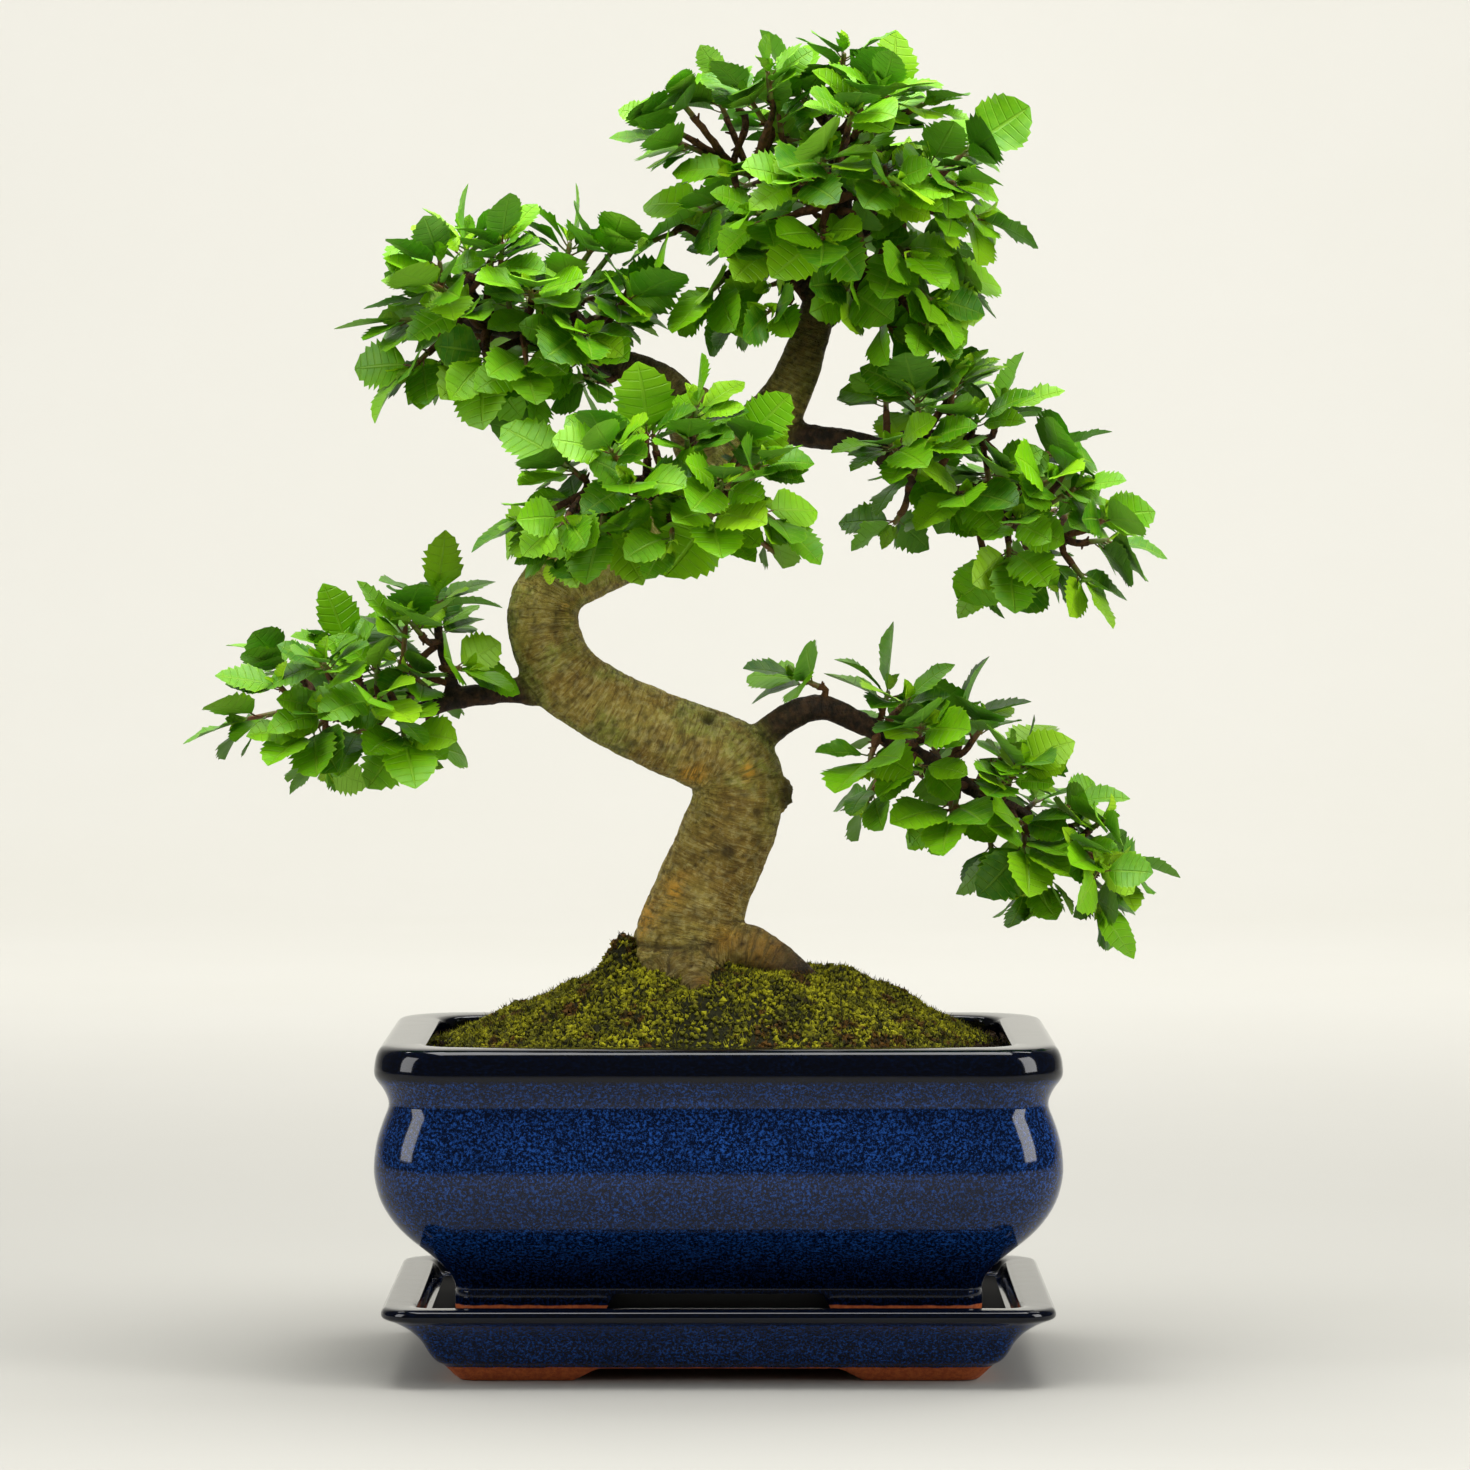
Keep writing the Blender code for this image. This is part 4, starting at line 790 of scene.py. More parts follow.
# Painted shade: the bark goes towards near black in its creases, scar pits, cut knot and the groove at the foot.
bark = blend(tree, sums(tree, "MULTIPLY", crease_and_shade, 0.75), bark, BARK_DARK)
tree.links.new(bark, shader["Base Color"])
tree.links.new(ramp(tree, rings, 0.3, 0.7, 0.78, 0.58), shader["Roughness"])
relief = sums(tree, "ADD", sums(tree, "ADD", rings, sums(tree, "MULTIPLY", lines, 1.3)),
              sums(tree, "MULTIPLY", branchlet["Mask"], 0.35))
tree.links.new(bump(tree, relief, 0.0015), shader["Normal"])
wood.data.materials.clear()
wood.data.materials.append(bark_material)
settle(wood, "bark", "tree_wood")

# Leafy shoots
# Each shoot is a short green stem on a woody twig, with small toothed elm leaves on thin petioles.
# They grow by one rule: a leaf takes the first place where it clears the wood and its neighbours.
SHOOTS = {
    "lower_left": (
        ((-137, -8, 203), (-1, 0, -0.2), 9, 5), ((-131, 6, 213), (-0.7, 0.3, 0.6), 8, 5),
        ((-122, -20, 201), (-0.5, -0.6, -0.4), 8, 5), ((-105, -22, 207), (-0.1, -1, 0.1), 7, 5),
        ((-113, -2, 215), (-0.3, 0, 0.9), 8, 5), ((-98, -18, 200), (0.1, -0.7, -0.5), 6, 5),
        ((-88, -8, 233), (0, -0.1, 1), 5, 5), ((-84, -15, 217), (0.7, -0.6, 0), 5, 5),
        ((-113, 10, 211), (-0.4, 1, 0.3), 10, 5),
    ),
    "lower_right": (
        ((31, -4, 211), (-0.8, -0.3, 0.4), 6, 5), ((51, 0, 203), (0.3, 0.1, 1), 6, 5),
        ((48, -12, 192), (-0.2, -0.7, -0.6), 5, 4), ((75, -3, 194), (0.2, -0.1, 1), 7, 5),
        ((86, 8, 186), (0.7, 0.6, 0.5), 8, 5), ((74, -12, 177), (-0.2, -0.7, -0.7), 6, 5),
        ((95, -12, 165), (-0.1, -0.8, -0.5), 6, 5), ((103, 0, 171), (0.7, -0.1, 0.3), 6, 5),
        ((118, -2, 158), (1, 0, -0.1), 6, 5), ((115, -5, 149), (0.4, -0.2, -0.9), 5, 5),
    ),
    "upper_left": (
        ((-91, -2, 325), (-1, 0, 0.05), 7, 5), ((-84, 6, 334), (-0.7, 0.3, 0.6), 7, 5),
        ((-90, -9, 315), (-0.7, -0.4, -0.7), 7, 5), ((-72, -12, 313), (0, -0.6, -0.9), 5, 5),
        ((-79, 1, 341), (0, 0, 1), 5, 5), ((-48, 4, 342), (0.2, 0.1, 1), 7, 5),
        ((-58, -14, 331), (0, -1, 0.4), 7, 5), ((-34, -8, 327), (0.7, -0.5, 0.5), 8, 5),
        ((-60, 14, 329), (0, 1, 0.4), 10, 5),
    ),
    "right": (
        ((115, 1, 256), (1, 0.1, 0.1), 6, 5), ((110, -8, 249), (0.6, -0.4, -0.8), 5, 5),
        ((98, 1, 280), (0.8, 0, 0.6), 7, 5), ((86, 2, 291), (0.3, 0, 1), 6, 5),
        ((90, -9, 256), (0, -0.6, -0.8), 5, 5), ((76, -14, 272), (0, -1, -0.1), 6, 5),
        ((62, -9, 295), (-0.1, -0.5, 0.9), 7, 5), ((82, 13, 274), (0.3, 1, 0.3), 10, 5),
    ),
    "middle": (
        ((-49, -43, 267), (-0.9, -0.1, -0.4), 8, 5), ((-42, -38, 276), (-0.7, 0.2, 0.6), 7, 5),
        ((-35, -50, 264), (-0.1, -0.6, -0.8), 5, 5), ((-22, -38, 283), (0, -0.2, 1), 6, 5),
        ((-25, -51, 273), (-0.1, -1, 0.2), 6, 5), ((-3, -52, 267), (0.1, -0.8, -0.6), 6, 5),
        ((11, -47, 267), (0.8, -0.2, -0.6), 7, 5), ((4, -39, 280), (0.5, 0, 0.9), 7, 5),
    ),
    "crown": (
        ((27, 1, 393), (-0.5, 0, 0.9), 5, 6), ((51, 0, 390), (0.3, 0, 2), 5, 5),
        ((-5, -2, 377), (-0.9, 0, 0.4), 7, 6), ((2, -4, 362), (-0.8, -0.3, -0.4), 7, 5),
        ((2, -8, 338), (-0.5, -0.5, -0.5), 6, 5), ((32, -26, 370), (0, -0.9, 0.5), 7, 6),
        ((32, -24, 352), (0, -1, -0.4), 6, 5), ((54, -16, 348), (0.5, -0.7, -0.4), 7, 5),
        ((73, 0, 374), (0.7, 0, 0.7), 7, 6), ((73, -3, 359), (0.9, -0.2, -0.3), 7, 5),
        ((42, 24, 370), (0.1, 1, 0.4), 9, 6),
    ),
}
# More shoots that fill the pads out, as (seat), (heading), stem length, number of leaves
MORE_SHOOTS = {
    "crown": (
        ((14, -10, 386), (-0.5, -0.4, 0.8), 10, 6), ((6, 0, 391), (-0.5, 0, 0.9), 9, 6),
        ((-10, -2, 382), (-0.9, 0, 0.5), 10, 5), ((26, -30, 366), (-0.2, -1, 0), 9, 6),
        ((50, -24, 366), (0.4, -0.9, 0), 10, 6), ((60, -10, 336), (0.5, -0.6, -0.5), 10, 6),
        ((64, 0, 344), (0.8, -0.1, -0.5), 10, 6), ((48, -18, 388), (0.2, -0.6, 0.8), 9, 6),
        ((16, -20, 392), (-0.1, -0.5, 0.9), 9, 5), ((20, 24, 384), (-0.3, 0.8, 0.5), 10, 6),
        ((52, 24, 376), (0.5, 0.8, 0.2), 10, 6), ((28, 22, 352), (-0.3, 1, -0.3), 10, 6),
        ((62, 16, 350), (0.6, 0.7, -0.2), 10, 6), ((47, -6, 326), (0.6, -0.5, -0.4), 9, 5),
        ((10, 12, 362), (-0.7, 0.7, 0.1), 10, 5), ((38, -8, 400), (0.1, -0.3, 1), 7, 5),
        ((16, -18, 356), (-0.4, -0.9, 0.1), 9, 6), ((40, -30, 384), (0.1, -0.9, 0.4), 8, 6),
        ((20, -14, 330), (-0.5, -0.8, -0.3), 8, 5), ((66, -12, 366), (0.7, -0.7, 0.1), 9, 5),
        ((-14, -6, 352), (-0.8, -0.4, -0.3), 7, 5), ((-17, 2, 366), (-0.9, 0, 0.1), 7, 5),
        ((-8, -8, 342), (-0.6, -0.5, -0.6), 6, 5), ((-18, -6, 378), (-0.9, -0.2, 0.3), 7, 5),
        ((-4, -12, 360), (-0.3, -0.9, 0), 6, 5), ((-8, -8, 388), (-0.6, -0.3, 0.7), 7, 5),
    ),
    "upper_left": (
        ((-82, -12, 332), (-0.5, -0.8, 0.3), 10, 5), ((-60, -16, 316), (0.1, -0.7, -0.7), 8, 5),
        ((-38, -4, 340), (0.6, -0.1, 0.8), 10, 5), ((-84, 18, 326), (-0.5, 0.8, 0.2), 10, 5),
        ((-68, -6, 340), (0.1, -0.4, 0.9), 9, 5), ((-44, -14, 322), (0.2, -1, -0.2), 9, 5),
        ((-40, 14, 326), (0.4, 0.9, 0.2), 10, 5),
    ),
    "right": (
        ((55, -14, 284), (-0.2, -0.9, 0.2), 8, 5), ((103, -6, 268), (0.8, -0.4, 0.5), 9, 5),
        ((100, 14, 264), (0.6, 0.8, 0.2), 10, 5), ((72, -8, 300), (0.2, -0.5, 0.9), 9, 5),
        ((66, 14, 290), (0, 0.9, 0.5), 10, 5), ((97, -12, 272), (0.5, -0.8, 0.3), 9, 5),
    ),
    "middle": (
        ((-30, -54, 280), (-0.3, -0.9, 0.5), 8, 5), ((-8, -40, 288), (0.1, -0.3, 1), 9, 5),
        ((8, -50, 276), (0.5, -0.7, 0.4), 9, 5), ((-46, -46, 258), (-0.5, -0.4, -0.8), 8, 5),
        ((-14, -56, 262), (0, -0.8, -0.6), 8, 5),
    ),
    "lower_left": (
        ((-128, 18, 206), (-0.6, 0.8, 0), 10, 5), ((-118, -20, 214), (-0.4, -0.8, 0.5), 9, 5),
        ((-98, -12, 220), (0.1, -0.4, 1), 10, 5), ((-96, 12, 208), (0.2, 1, 0.2), 10, 5),
    ),
    "lower_right": (
        ((68, 16, 190), (-0.1, 0.9, 0.4), 10, 5), ((97, 14, 172), (0.3, 0.9, 0.2), 10, 5),
        ((62, -14, 196), (0.1, -0.9, 0.4), 9, 5), ((90, -12, 182), (0.4, -0.8, 0.5), 9, 5),
        ((107, -12, 162), (0.3, -0.9, 0.1), 8, 4),
    ),
}
PAD_CENTRES = {
    "lower_left": (-112, -4, 200), "lower_right": (80, 0, 170), "upper_left": (-66, 0, 318),
    "right": (84, 0, 266), "middle": (-20, -26, 264), "crown": (34, 0, 352),
}
TOUCH_GAP = 0.3
TWIG_RADIUS = 1.1
TWIG_FOOT_RADIUS = 1.6
TWIG_FOOT_SHARE = 0.75
TWIG_END_LENGTH = 5.0
TWIG_END_SHARE = 0.4
STRAIGHT_ENOUGH = 0.97
STEM_RADIUS = 0.95
STEM_TIP_RADIUS = 0.8
LEAF_LENGTH = (19.0, 23.5)
LEAF_WIDTH = (0.72, 0.88)
LEAF_PETIOLE = 3.4
LEAF_SIDE = ((0.0, 0.08), (0.20, 0.80), (0.53, 1.0), (0.63, 0.72))
LEAF_CENTRE = 0.46
LEAF_FOLD = 0.16
LEAF_DROOP = 0.14
LEAF_THICKNESS = 1.1
PETIOLE_FOOT = 0.34
PETIOLE_DEPTH = 0.8
FIRST_LEAF = 0.3
LAST_SIDE_LEAF = 0.95
SMALLEST_LEAF = 0.74
LEAF_SIZE_GROWS = 1.3
TIP_LEAF_DEPTH = 0.8
PAD_FLATNESS = 0.8
LEVEL_ENOUGH = 0.35
LEAF_TURN = 40
LEAF_FORWARD = (0.35, 0.75)
LEAF_OUTWARD = (0.1, 0.5)
LEAF_HANG = (0.0, 0.3)
FACES_OUTWARD = (0.5, 1.0)
FACES_UP = (0.35, 0.8)
FACES_ASIDE = ((-0.35, 0.35), (-0.5, 0.15), (-0.2, 0.3))
FACING_ENOUGH = 0.2
LEAF_CLEARANCE = 1.3
LEAF_NEAR = 28.0
LEAF_TRIES = 30


def coarse_tube(route, resolution, spacing):
    """The plain tube of the solids, which the rule that places the leaves is tested against."""
    read = smooth_route([Vector((x, y, z, radius)) for x, y, z, radius in route], spacing)
    curve = bpy.data.curves.new("route", "CURVE")
    curve.dimensions = "3D"
    curve.bevel_depth = MM
    curve.bevel_resolution = resolution
    curve.use_fill_caps = True
    spline = curve.splines.new("POLY")
    spline.points.add(len(read) - 1)
    for point, stop in zip(spline.points, read):
        point.co = (stop.x * MM, stop.y * MM, stop.z * MM, 1.0)
        point.radius = stop.w
    holder = bpy.data.objects.new("route", curve)
    bpy.context.scene.collection.objects.link(holder)
    bpy.context.view_layer.update()
    mesh = bpy.data.meshes.new_from_object(holder.evaluated_get(bpy.context.evaluated_depsgraph_get()))
    points = [vertex.co / MM for vertex in mesh.vertices]
    faces = [tuple(face.vertices) for face in mesh.polygons]
    bpy.data.objects.remove(holder, do_unlink=True)
    bpy.data.curves.remove(curve)
    bpy.data.meshes.remove(mesh)
    return points, faces


def nearest_on_branches(seat, pad):
    """Where the twig to a shoot's seat leaves the pad's branches, and the branch's radius there."""
    best = None
    for route in BRANCHES[pad]:
        for stop in smooth_route([Vector(stop) for stop in route], 4.0):
            away = (Vector(stop[:3]) - seat).length
            if best is None or away < best[0]:
                best = (away, Vector(stop[:3]), stop.w)
    return best[1], best[2]


def twig_route(seat, heading, pad, known_foot=None):
    """A woody twig from the branch to the seat, which it reaches along the shoot's heading."""
    foot, foot_radius = known_foot or nearest_on_branches(seat, pad)
    run = seat - foot
    route = [(*foot, min(TWIG_FOOT_RADIUS, foot_radius * TWIG_FOOT_SHARE))]
    if run.normalized().dot(heading) < STRAIGHT_ENOUGH:
        near = seat - heading * min(TWIG_END_LENGTH, run.length * TWIG_END_SHARE)
        route.append((*near, TWIG_RADIUS))
    return route + [(*seat, TWIG_RADIUS)]


def stem_route(seat, heading, length):
    """The short green stem of a shoot: it starts on the twig's end and leaves it straight."""
    foot = seat + heading * TOUCH_GAP
    tip = foot + heading * length
    return [(*foot, STEM_RADIUS), (*tip, STEM_TIP_RADIUS)]


def leaf_frame(pad, route, heading, index, leaves, draw):
    """Where a leaf stands on its stem, which way it points and faces, and how long and wide it is."""
    last = index == leaves - 1
    share = 1.0 if last else FIRST_LEAF + (LAST_SIDE_LEAF - FIRST_LEAF) * index / (leaves - 1)
    root = Vector(route[0][:3]).lerp(Vector(route[1][:3]), share)
    if last:
        root = root - heading * TIP_LEAF_DEPTH
    outward = root - Vector(PAD_CENTRES[pad])
    outward.z *= PAD_FLATNESS
    outward.normalize()
    up = Vector((0, 0, 1))
    across = heading.cross(up)
    if across.length < LEVEL_ENOUGH:
        across = heading.cross(Vector((0, -1, 0.2)))
    across.normalize()
    side = 0.0 if last else (1.0 if index % 2 else -1.0)
    turn = Matrix.Rotation(math.radians(draw.uniform(-LEAF_TURN, LEAF_TURN)), 3, heading)
    across = turn @ across
    axis = (heading * (1.0 if last else draw.uniform(*LEAF_FORWARD)) + across * side
            + outward * draw.uniform(*LEAF_OUTWARD) - up * draw.uniform(*LEAF_HANG))
    axis.normalize()
    facing = outward * draw.uniform(*FACES_OUTWARD) + up * draw.uniform(*FACES_UP)
    facing += Vector([draw.uniform(*spread) for spread in FACES_ASIDE])
    facing -= axis * facing.dot(axis)
    if facing.length < FACING_ENOUGH:
        facing = across - axis * across.dot(axis)
    facing.normalize()
    length = draw.uniform(*LEAF_LENGTH)
    if not last:
        length *= SMALLEST_LEAF + (1.0 - SMALLEST_LEAF) * min(1.0, share * LEAF_SIZE_GROWS)
    width = length * draw.uniform(*LEAF_WIDTH)
    return root, axis, facing, length, width


def coarse_leaf(root, axis, facing, length, width, extra):
    """The plain leaf of the solids, grown by a clearance."""
    across = axis.cross(facing)
    blade = root + axis * LEAF_PETIOLE

    def spot(along, side, lift):
        fold = LEAF_FOLD * abs(side) * width / 2
        droop = LEAF_DROOP * length * along * along
        return (blade + axis * (along * (length + extra)) + across * (side * (width / 2 + extra))
                + facing * (fold - droop + lift))

    outline = [spot(along, -side, 0.0) for along, side in LEAF_SIDE]
    outline.append(spot(1.0, 0.0, 0.0))
    outline += [spot(along, side, 0.0) for along, side in reversed(LEAF_SIDE)]
    count = len(outline)
    half = (LEAF_THICKNESS + extra * 2) / 2
    points = outline + [spot(LEAF_CENTRE, 0.0, half), spot(LEAF_CENTRE, 0.0, -half),
                        spot(0.0, 0.0, -PETIOLE_DEPTH)]
    top, under, keel = count, count + 1, count + 2
    points += [root - across * PETIOLE_FOOT, root + across * PETIOLE_FOOT, root - facing * PETIOLE_FOOT]
    foot_left, foot_right, foot_keel = count + 3, count + 4, count + 5
    faces = [(edge, edge + 1, top) for edge in range(count - 1)] + [(count - 1, 0, top)]
    faces += [(edge + 1, edge, under) for edge in range(count - 1)]
    faces += [(keel, count - 1, under), (0, keel, under)]
    faces += [(0, count - 1, foot_right, foot_left), (count - 1, keel, foot_keel, foot_right),
              (keel, 0, foot_left, foot_keel), (foot_left, foot_right, foot_keel)]
    return points, faces


def plan_shoots(lists, first_order, stem):
    """Every shoot of a list with its pad, seat, heading, stem route and number of leaves."""
    plan = []
    for pad, shoots in lists.items():
        for number, (seat, heading, length, leaves, *foot) in enumerate(shoots, 1):
            seat = Vector(seat)
            heading = Vector(heading).normalized()
            plan.append({"name": f"{stem}_{pad}_{number:02d}", "pad": pad, "seat": seat, "heading": heading,
                         "route": stem_route(seat, heading, length), "leaves": leaves,
                         "order": first_order + len(plan), "frames": [],
                         "twig": twig_route(seat, heading, pad, foot[0] if foot else None)})
    return plan


def leaf_is_clear(leaf, clearance, order, taken):
    """True where a leaf touches neither the wood, another shoot's stem nor a leaf in place."""
    middle = leaf[0] + leaf[1] * (LEAF_PETIOLE + leaf[3] / 2)
    tree = BVHTree.FromPolygons(*coarse_leaf(*leaf, clearance / 2))
    if tree.overlap(wood_tree):
        return False
    if any(tree.overlap(other) for owner, place, other in stem_trees
           if owner != order and (place - middle).length < STEM_NEAR):
        return False
    if taken:
        places = np.array([entry[0] for entry in taken])
        near = ((places[:, :3] - np.array(middle)) ** 2).sum(axis=1) < LEAF_NEAR ** 2
        for index in np.nonzero(near | (places[:, 3] == order))[0]:
            if tree.overlap(taken[index][1]):
                return False
    taken.append(((*middle, order), tree))
    return True


def stem_tree(shoot):
    """A shoot's stem to test leaves against, with its owner and its foot."""
    return shoot["order"], shoot["seat"], BVHTree.FromPolygons(*coarse_tube(shoot["route"], 0, 8.0))


STEM_NEAR = 60.0
plan = plan_shoots(SHOOTS, 0, "shoot")
coarse = [coarse_tube(TRUNK, 3, 15.0)]
coarse += [coarse_tube(route, 1, 12.0) for route in ROOTS]
coarse += [coarse_tube(route, 1, 12.0) for routes in BRANCHES.values() for route in routes]
coarse += [coarse_tube(shoot["twig"], 0, 12.0) for shoot in plan]
wood_tree = BVHTree.FromPolygons(*joined(coarse))
stem_trees = [stem_tree(shoot) for shoot in plan]

placed = []
for index in range(max(shoot["leaves"] for shoot in plan)):
    for shoot in plan:
        if index >= shoot["leaves"]:
            continue
        number = shoot["leaves"] - 1 - index
        draw = random.Random(1000 * shoot["order"] + number)
        for _ in range(LEAF_TRIES):
            leaf = leaf_frame(shoot["pad"], shoot["route"], shoot["heading"], number, shoot["leaves"], draw)
            if leaf_is_clear(leaf, LEAF_CLEARANCE, shoot["order"], placed):
                shoot["frames"].append(leaf)
                break

# More leaves
# The same rule goes on with a smaller clearance: first the added shoots, then short spurs all along
# the branches, then smaller leaves in the gaps of every shoot. All stay inside the pads' outlines.
MORE_CLEARANCE = 0.0
MORE_TRIES = 20
GAP_LEAVES = 6
# Each pad's outline seen from the front and its depth, as (low x, high x), (low y, high y), (low z, high z)
PAD_BOXES = {
    "lower_left": ((-171, -68), (-52, 44), (177, 259)), "lower_right": ((8, 146), (-48, 46), (126, 231)),
    "upper_left": ((-120, -14), (-46, 48), (284, 372)), "right": ((26, 142), (-50, 46), (228, 319)),
    "middle": ((-76, 36), (-80, -8), (239, 318)), "crown": ((-37, 101), (-60, 58), (303, 417)),
}
PAD_ROUNDNESS = 3.0
SPUR_STEP = 4.2
SPUR_LENGTH = (6.0, 19.0)
SPUR_STEM = (4.0, 7.0)
BARE_SHARE = {"lower_left": 0.42, "lower_right": 0.32, "upper_left": 0.42, "right": 0.38, "middle": 0.35,
              "crown": 0.2}
GOLDEN_ANGLE = 2.4
CROWN_START = 22


def in_pad(spot, pad):
    """True inside the pad's rounded outline."""
    reach = sum(abs((value - (low + high) / 2) / ((high - low) / 2)) ** PAD_ROUNDNESS
                for value, (low, high) in zip(spot, PAD_BOXES[pad]))
    return reach < 1.0


def spurs():
    """Short leafy spurs all along the branches, turned by the golden angle from one to the next."""
    lists = {}
    for pad, routes in BRANCHES.items():
        draw = random.Random(len(pad) * 31 + len(routes))
        lists[pad] = []
        turn = draw.uniform(0, math.tau)
        for order, route in enumerate(routes + (TRUNK[CROWN_START:],) * (pad == "crown")):
            frames = route_frames(smooth_route(route, SPUR_STEP))
            bare = BARE_SHARE[pad] * len(frames) if order == 0 or pad == "crown" else 0
            for index, (spot, ahead, side, beside, radius) in enumerate(frames):
                turn += GOLDEN_ANGLE
                if index < bare:
                    continue
                out = side * math.cos(turn) + beside * math.sin(turn) + ahead * draw.uniform(0.1, 0.7)
                out += Vector((0, -0.15, 0.1))
                seat = spot + out.normalized() * draw.uniform(*SPUR_LENGTH)
                if not in_pad(seat + out.normalized() * 8, pad):
                    continue
                heading = out.normalized() + Vector((0, 0, draw.uniform(-0.2, 0.5)))
                lists[pad].append((seat, heading, draw.uniform(*SPUR_STEM), 5,
                                   (spot, min(TWIG_FOOT_RADIUS, radius * TWIG_FOOT_SHARE))))
    return lists


more_plan = plan_shoots(MORE_SHOOTS, len(plan), "more_shoot")
more_plan += plan_shoots(spurs(), len(plan) + len(more_plan), "spur")
leaves_in_place = BVHTree.FromPolygons(*joined(
    [coarse_leaf(*leaf, 0.0) for shoot in plan for leaf in shoot["frames"]]))
more_plan = [shoot for shoot in more_plan
             if not BVHTree.FromPolygons(*coarse_tube(shoot["twig"], 0, 12.0)).overlap(leaves_in_place)]
stem_trees += [stem_tree(shoot) for shoot in more_plan]
stem_trees += [(shoot["order"], shoot["seat"], BVHTree.FromPolygons(*coarse_tube(shoot["twig"], 0, 12.0)))
               for shoot in more_plan]
low_corner = (Vector(cad_box[0]) - middle) / MM
high_corner = (Vector(cad_box[1]) - middle) / MM
for round_number, shoots in enumerate((more_plan, more_plan + plan)):
    for shoot in shoots:
        wanted = shoot["leaves"] if round_number == 0 else GAP_LEAVES
        for number in range(wanted):
            draw = random.Random(500000 * (round_number + 1) + 1000 * shoot["order"] + number)
            for _ in range(MORE_TRIES):
                root, axis, facing, length, width = leaf_frame(
                    shoot["pad"], shoot["route"], shoot["heading"], number, wanted, draw)
                smaller = draw.uniform(0.78, 0.95) if round_number == 0 else draw.uniform(0.6, 0.85)
                leaf = (root, axis, facing, length * smaller, width * smaller)
                tip = root + axis * (LEAF_PETIOLE + length * smaller)
                if any(tip[k] < low_corner[k] - 4 or tip[k] > high_corner[k] + 4 for k in range(3)):
                    continue
                if in_pad(tip, shoot["pad"]) and leaf_is_clear(leaf, MORE_CLEARANCE, shoot["order"], placed):
                    shoot["frames"].append(leaf)
                    break
more_plan = [shoot for shoot in more_plan if len(shoot["frames"]) > 1]

# Leaf blades
# A thin blade with six or seven pairs of side veins. The tissue bulges a little between the veins,
# each vein ends in a tooth, and the rim waves. The blade stands on a short petiole.
VEINS = 7
NOTCH_PLACE = 0.36
STATIONS = [vein + place for vein in range(VEINS) for place in (0.0, NOTCH_PLACE)] + [VEINS]
COLUMNS = (-1.0, -0.52, 0.0, 0.52, 1.0)
YOUNG_COLUMNS = (-1.0, 0.0, 1.0)
BLADE_HALF = 0.16
PLEAT = 0.2
VEIN_SLANT = 0.22
TOOTH = 0.19
BLADE_SHORTER = 0.86
BLADE_BROADER = (0.98, 1.16)
PETIOLE_SIDES = 5
# Half width along the blade, as (share of the length, share of the half width)
BLADE_OUTLINE = ((0.0, 0.05), (0.05, 0.25), (0.13, 0.56), (0.24, 0.83), (0.36, 0.96), (0.48, 1.0), (0.60, 0.97),
                 (0.72, 0.85), (0.83, 0.64), (0.92, 0.38), (0.97, 0.18), (1.0, 0.04))


def blade_template(columns):
    """The flat blade: how far along and across each point lies, its faces and its place on the leaf."""
    vein = np.array(STATIONS)[:, None]
    side = np.array(columns)[None, :]
    base = vein / VEINS
    fan = np.clip(vein / 1.6, 0, 1)
    slant = VEIN_SLANT * (1 - base) * fan * fan * (3 - 2 * fan)
    along = base + slant * np.abs(side) ** 1.15
    phase = vein - np.floor(vein + 1e-6)
    notch = np.where(phase < 0.1, 0.0, np.where(phase < 0.5, 1.0, 0.3))
    toothed = np.clip((along - 0.2) / 0.35, 0, 1) * np.clip((1.0 - along) / 0.1, 0.3, 1)
    at_rim = (np.abs(side) > 0.99) * 1.0
    along = along - 0.03 * notch * toothed * at_rim
    envelope = np.interp(along, *np.array(BLADE_OUTLINE).T)
    across = side * envelope
    teeth = notch * toothed * at_rim
    bulge = np.sin(np.pi * phase) ** 0.8 * np.sin(np.pi * np.clip(np.abs(side), 0, 1) * 0.9) * (base < 0.97)
    middle = np.abs(side * np.ones_like(along)) < 0.1
    faces, inside = blade_faces(len(STATIONS), len(columns))
    uv = np.stack(((base * np.ones_like(along)).ravel(),
                   (side * np.ones_like(along)).ravel() * 0.5 + 0.5), axis=1)
    uv = np.vstack((uv, uv[inside])).tolist()
    return {"along": along, "across": across, "teeth": teeth, "bulge": bulge, "middle": middle,
            "faces": faces, "inside": inside, "uv": uv}


def blade_faces(rows, columns):
    """Top and underside of a blade. The two sheets share the points of the rim."""
    under = {}
    for row in range(rows):
        for column in range(columns):
            inside = 0 < row < rows - 1 and 0 < column < columns - 1
            under[row * columns + column] = rows * columns + len(
                [corner for corner in under if under[corner] != corner]) if inside else row * columns + column
    faces = []
    for row in range(rows - 1):
        for column in range(columns - 1):
            corner = row * columns + column
            quad = (corner, corner + 1, corner + 1 + columns, corner + columns)
            faces.append(quad)
            faces.append(tuple(under[index] for index in reversed(quad)))
    return faces, [corner for corner in under if under[corner] != corner]


FULL_BLADE = blade_template(COLUMNS)
YOUNG_BLADE = blade_template(YOUNG_COLUMNS)


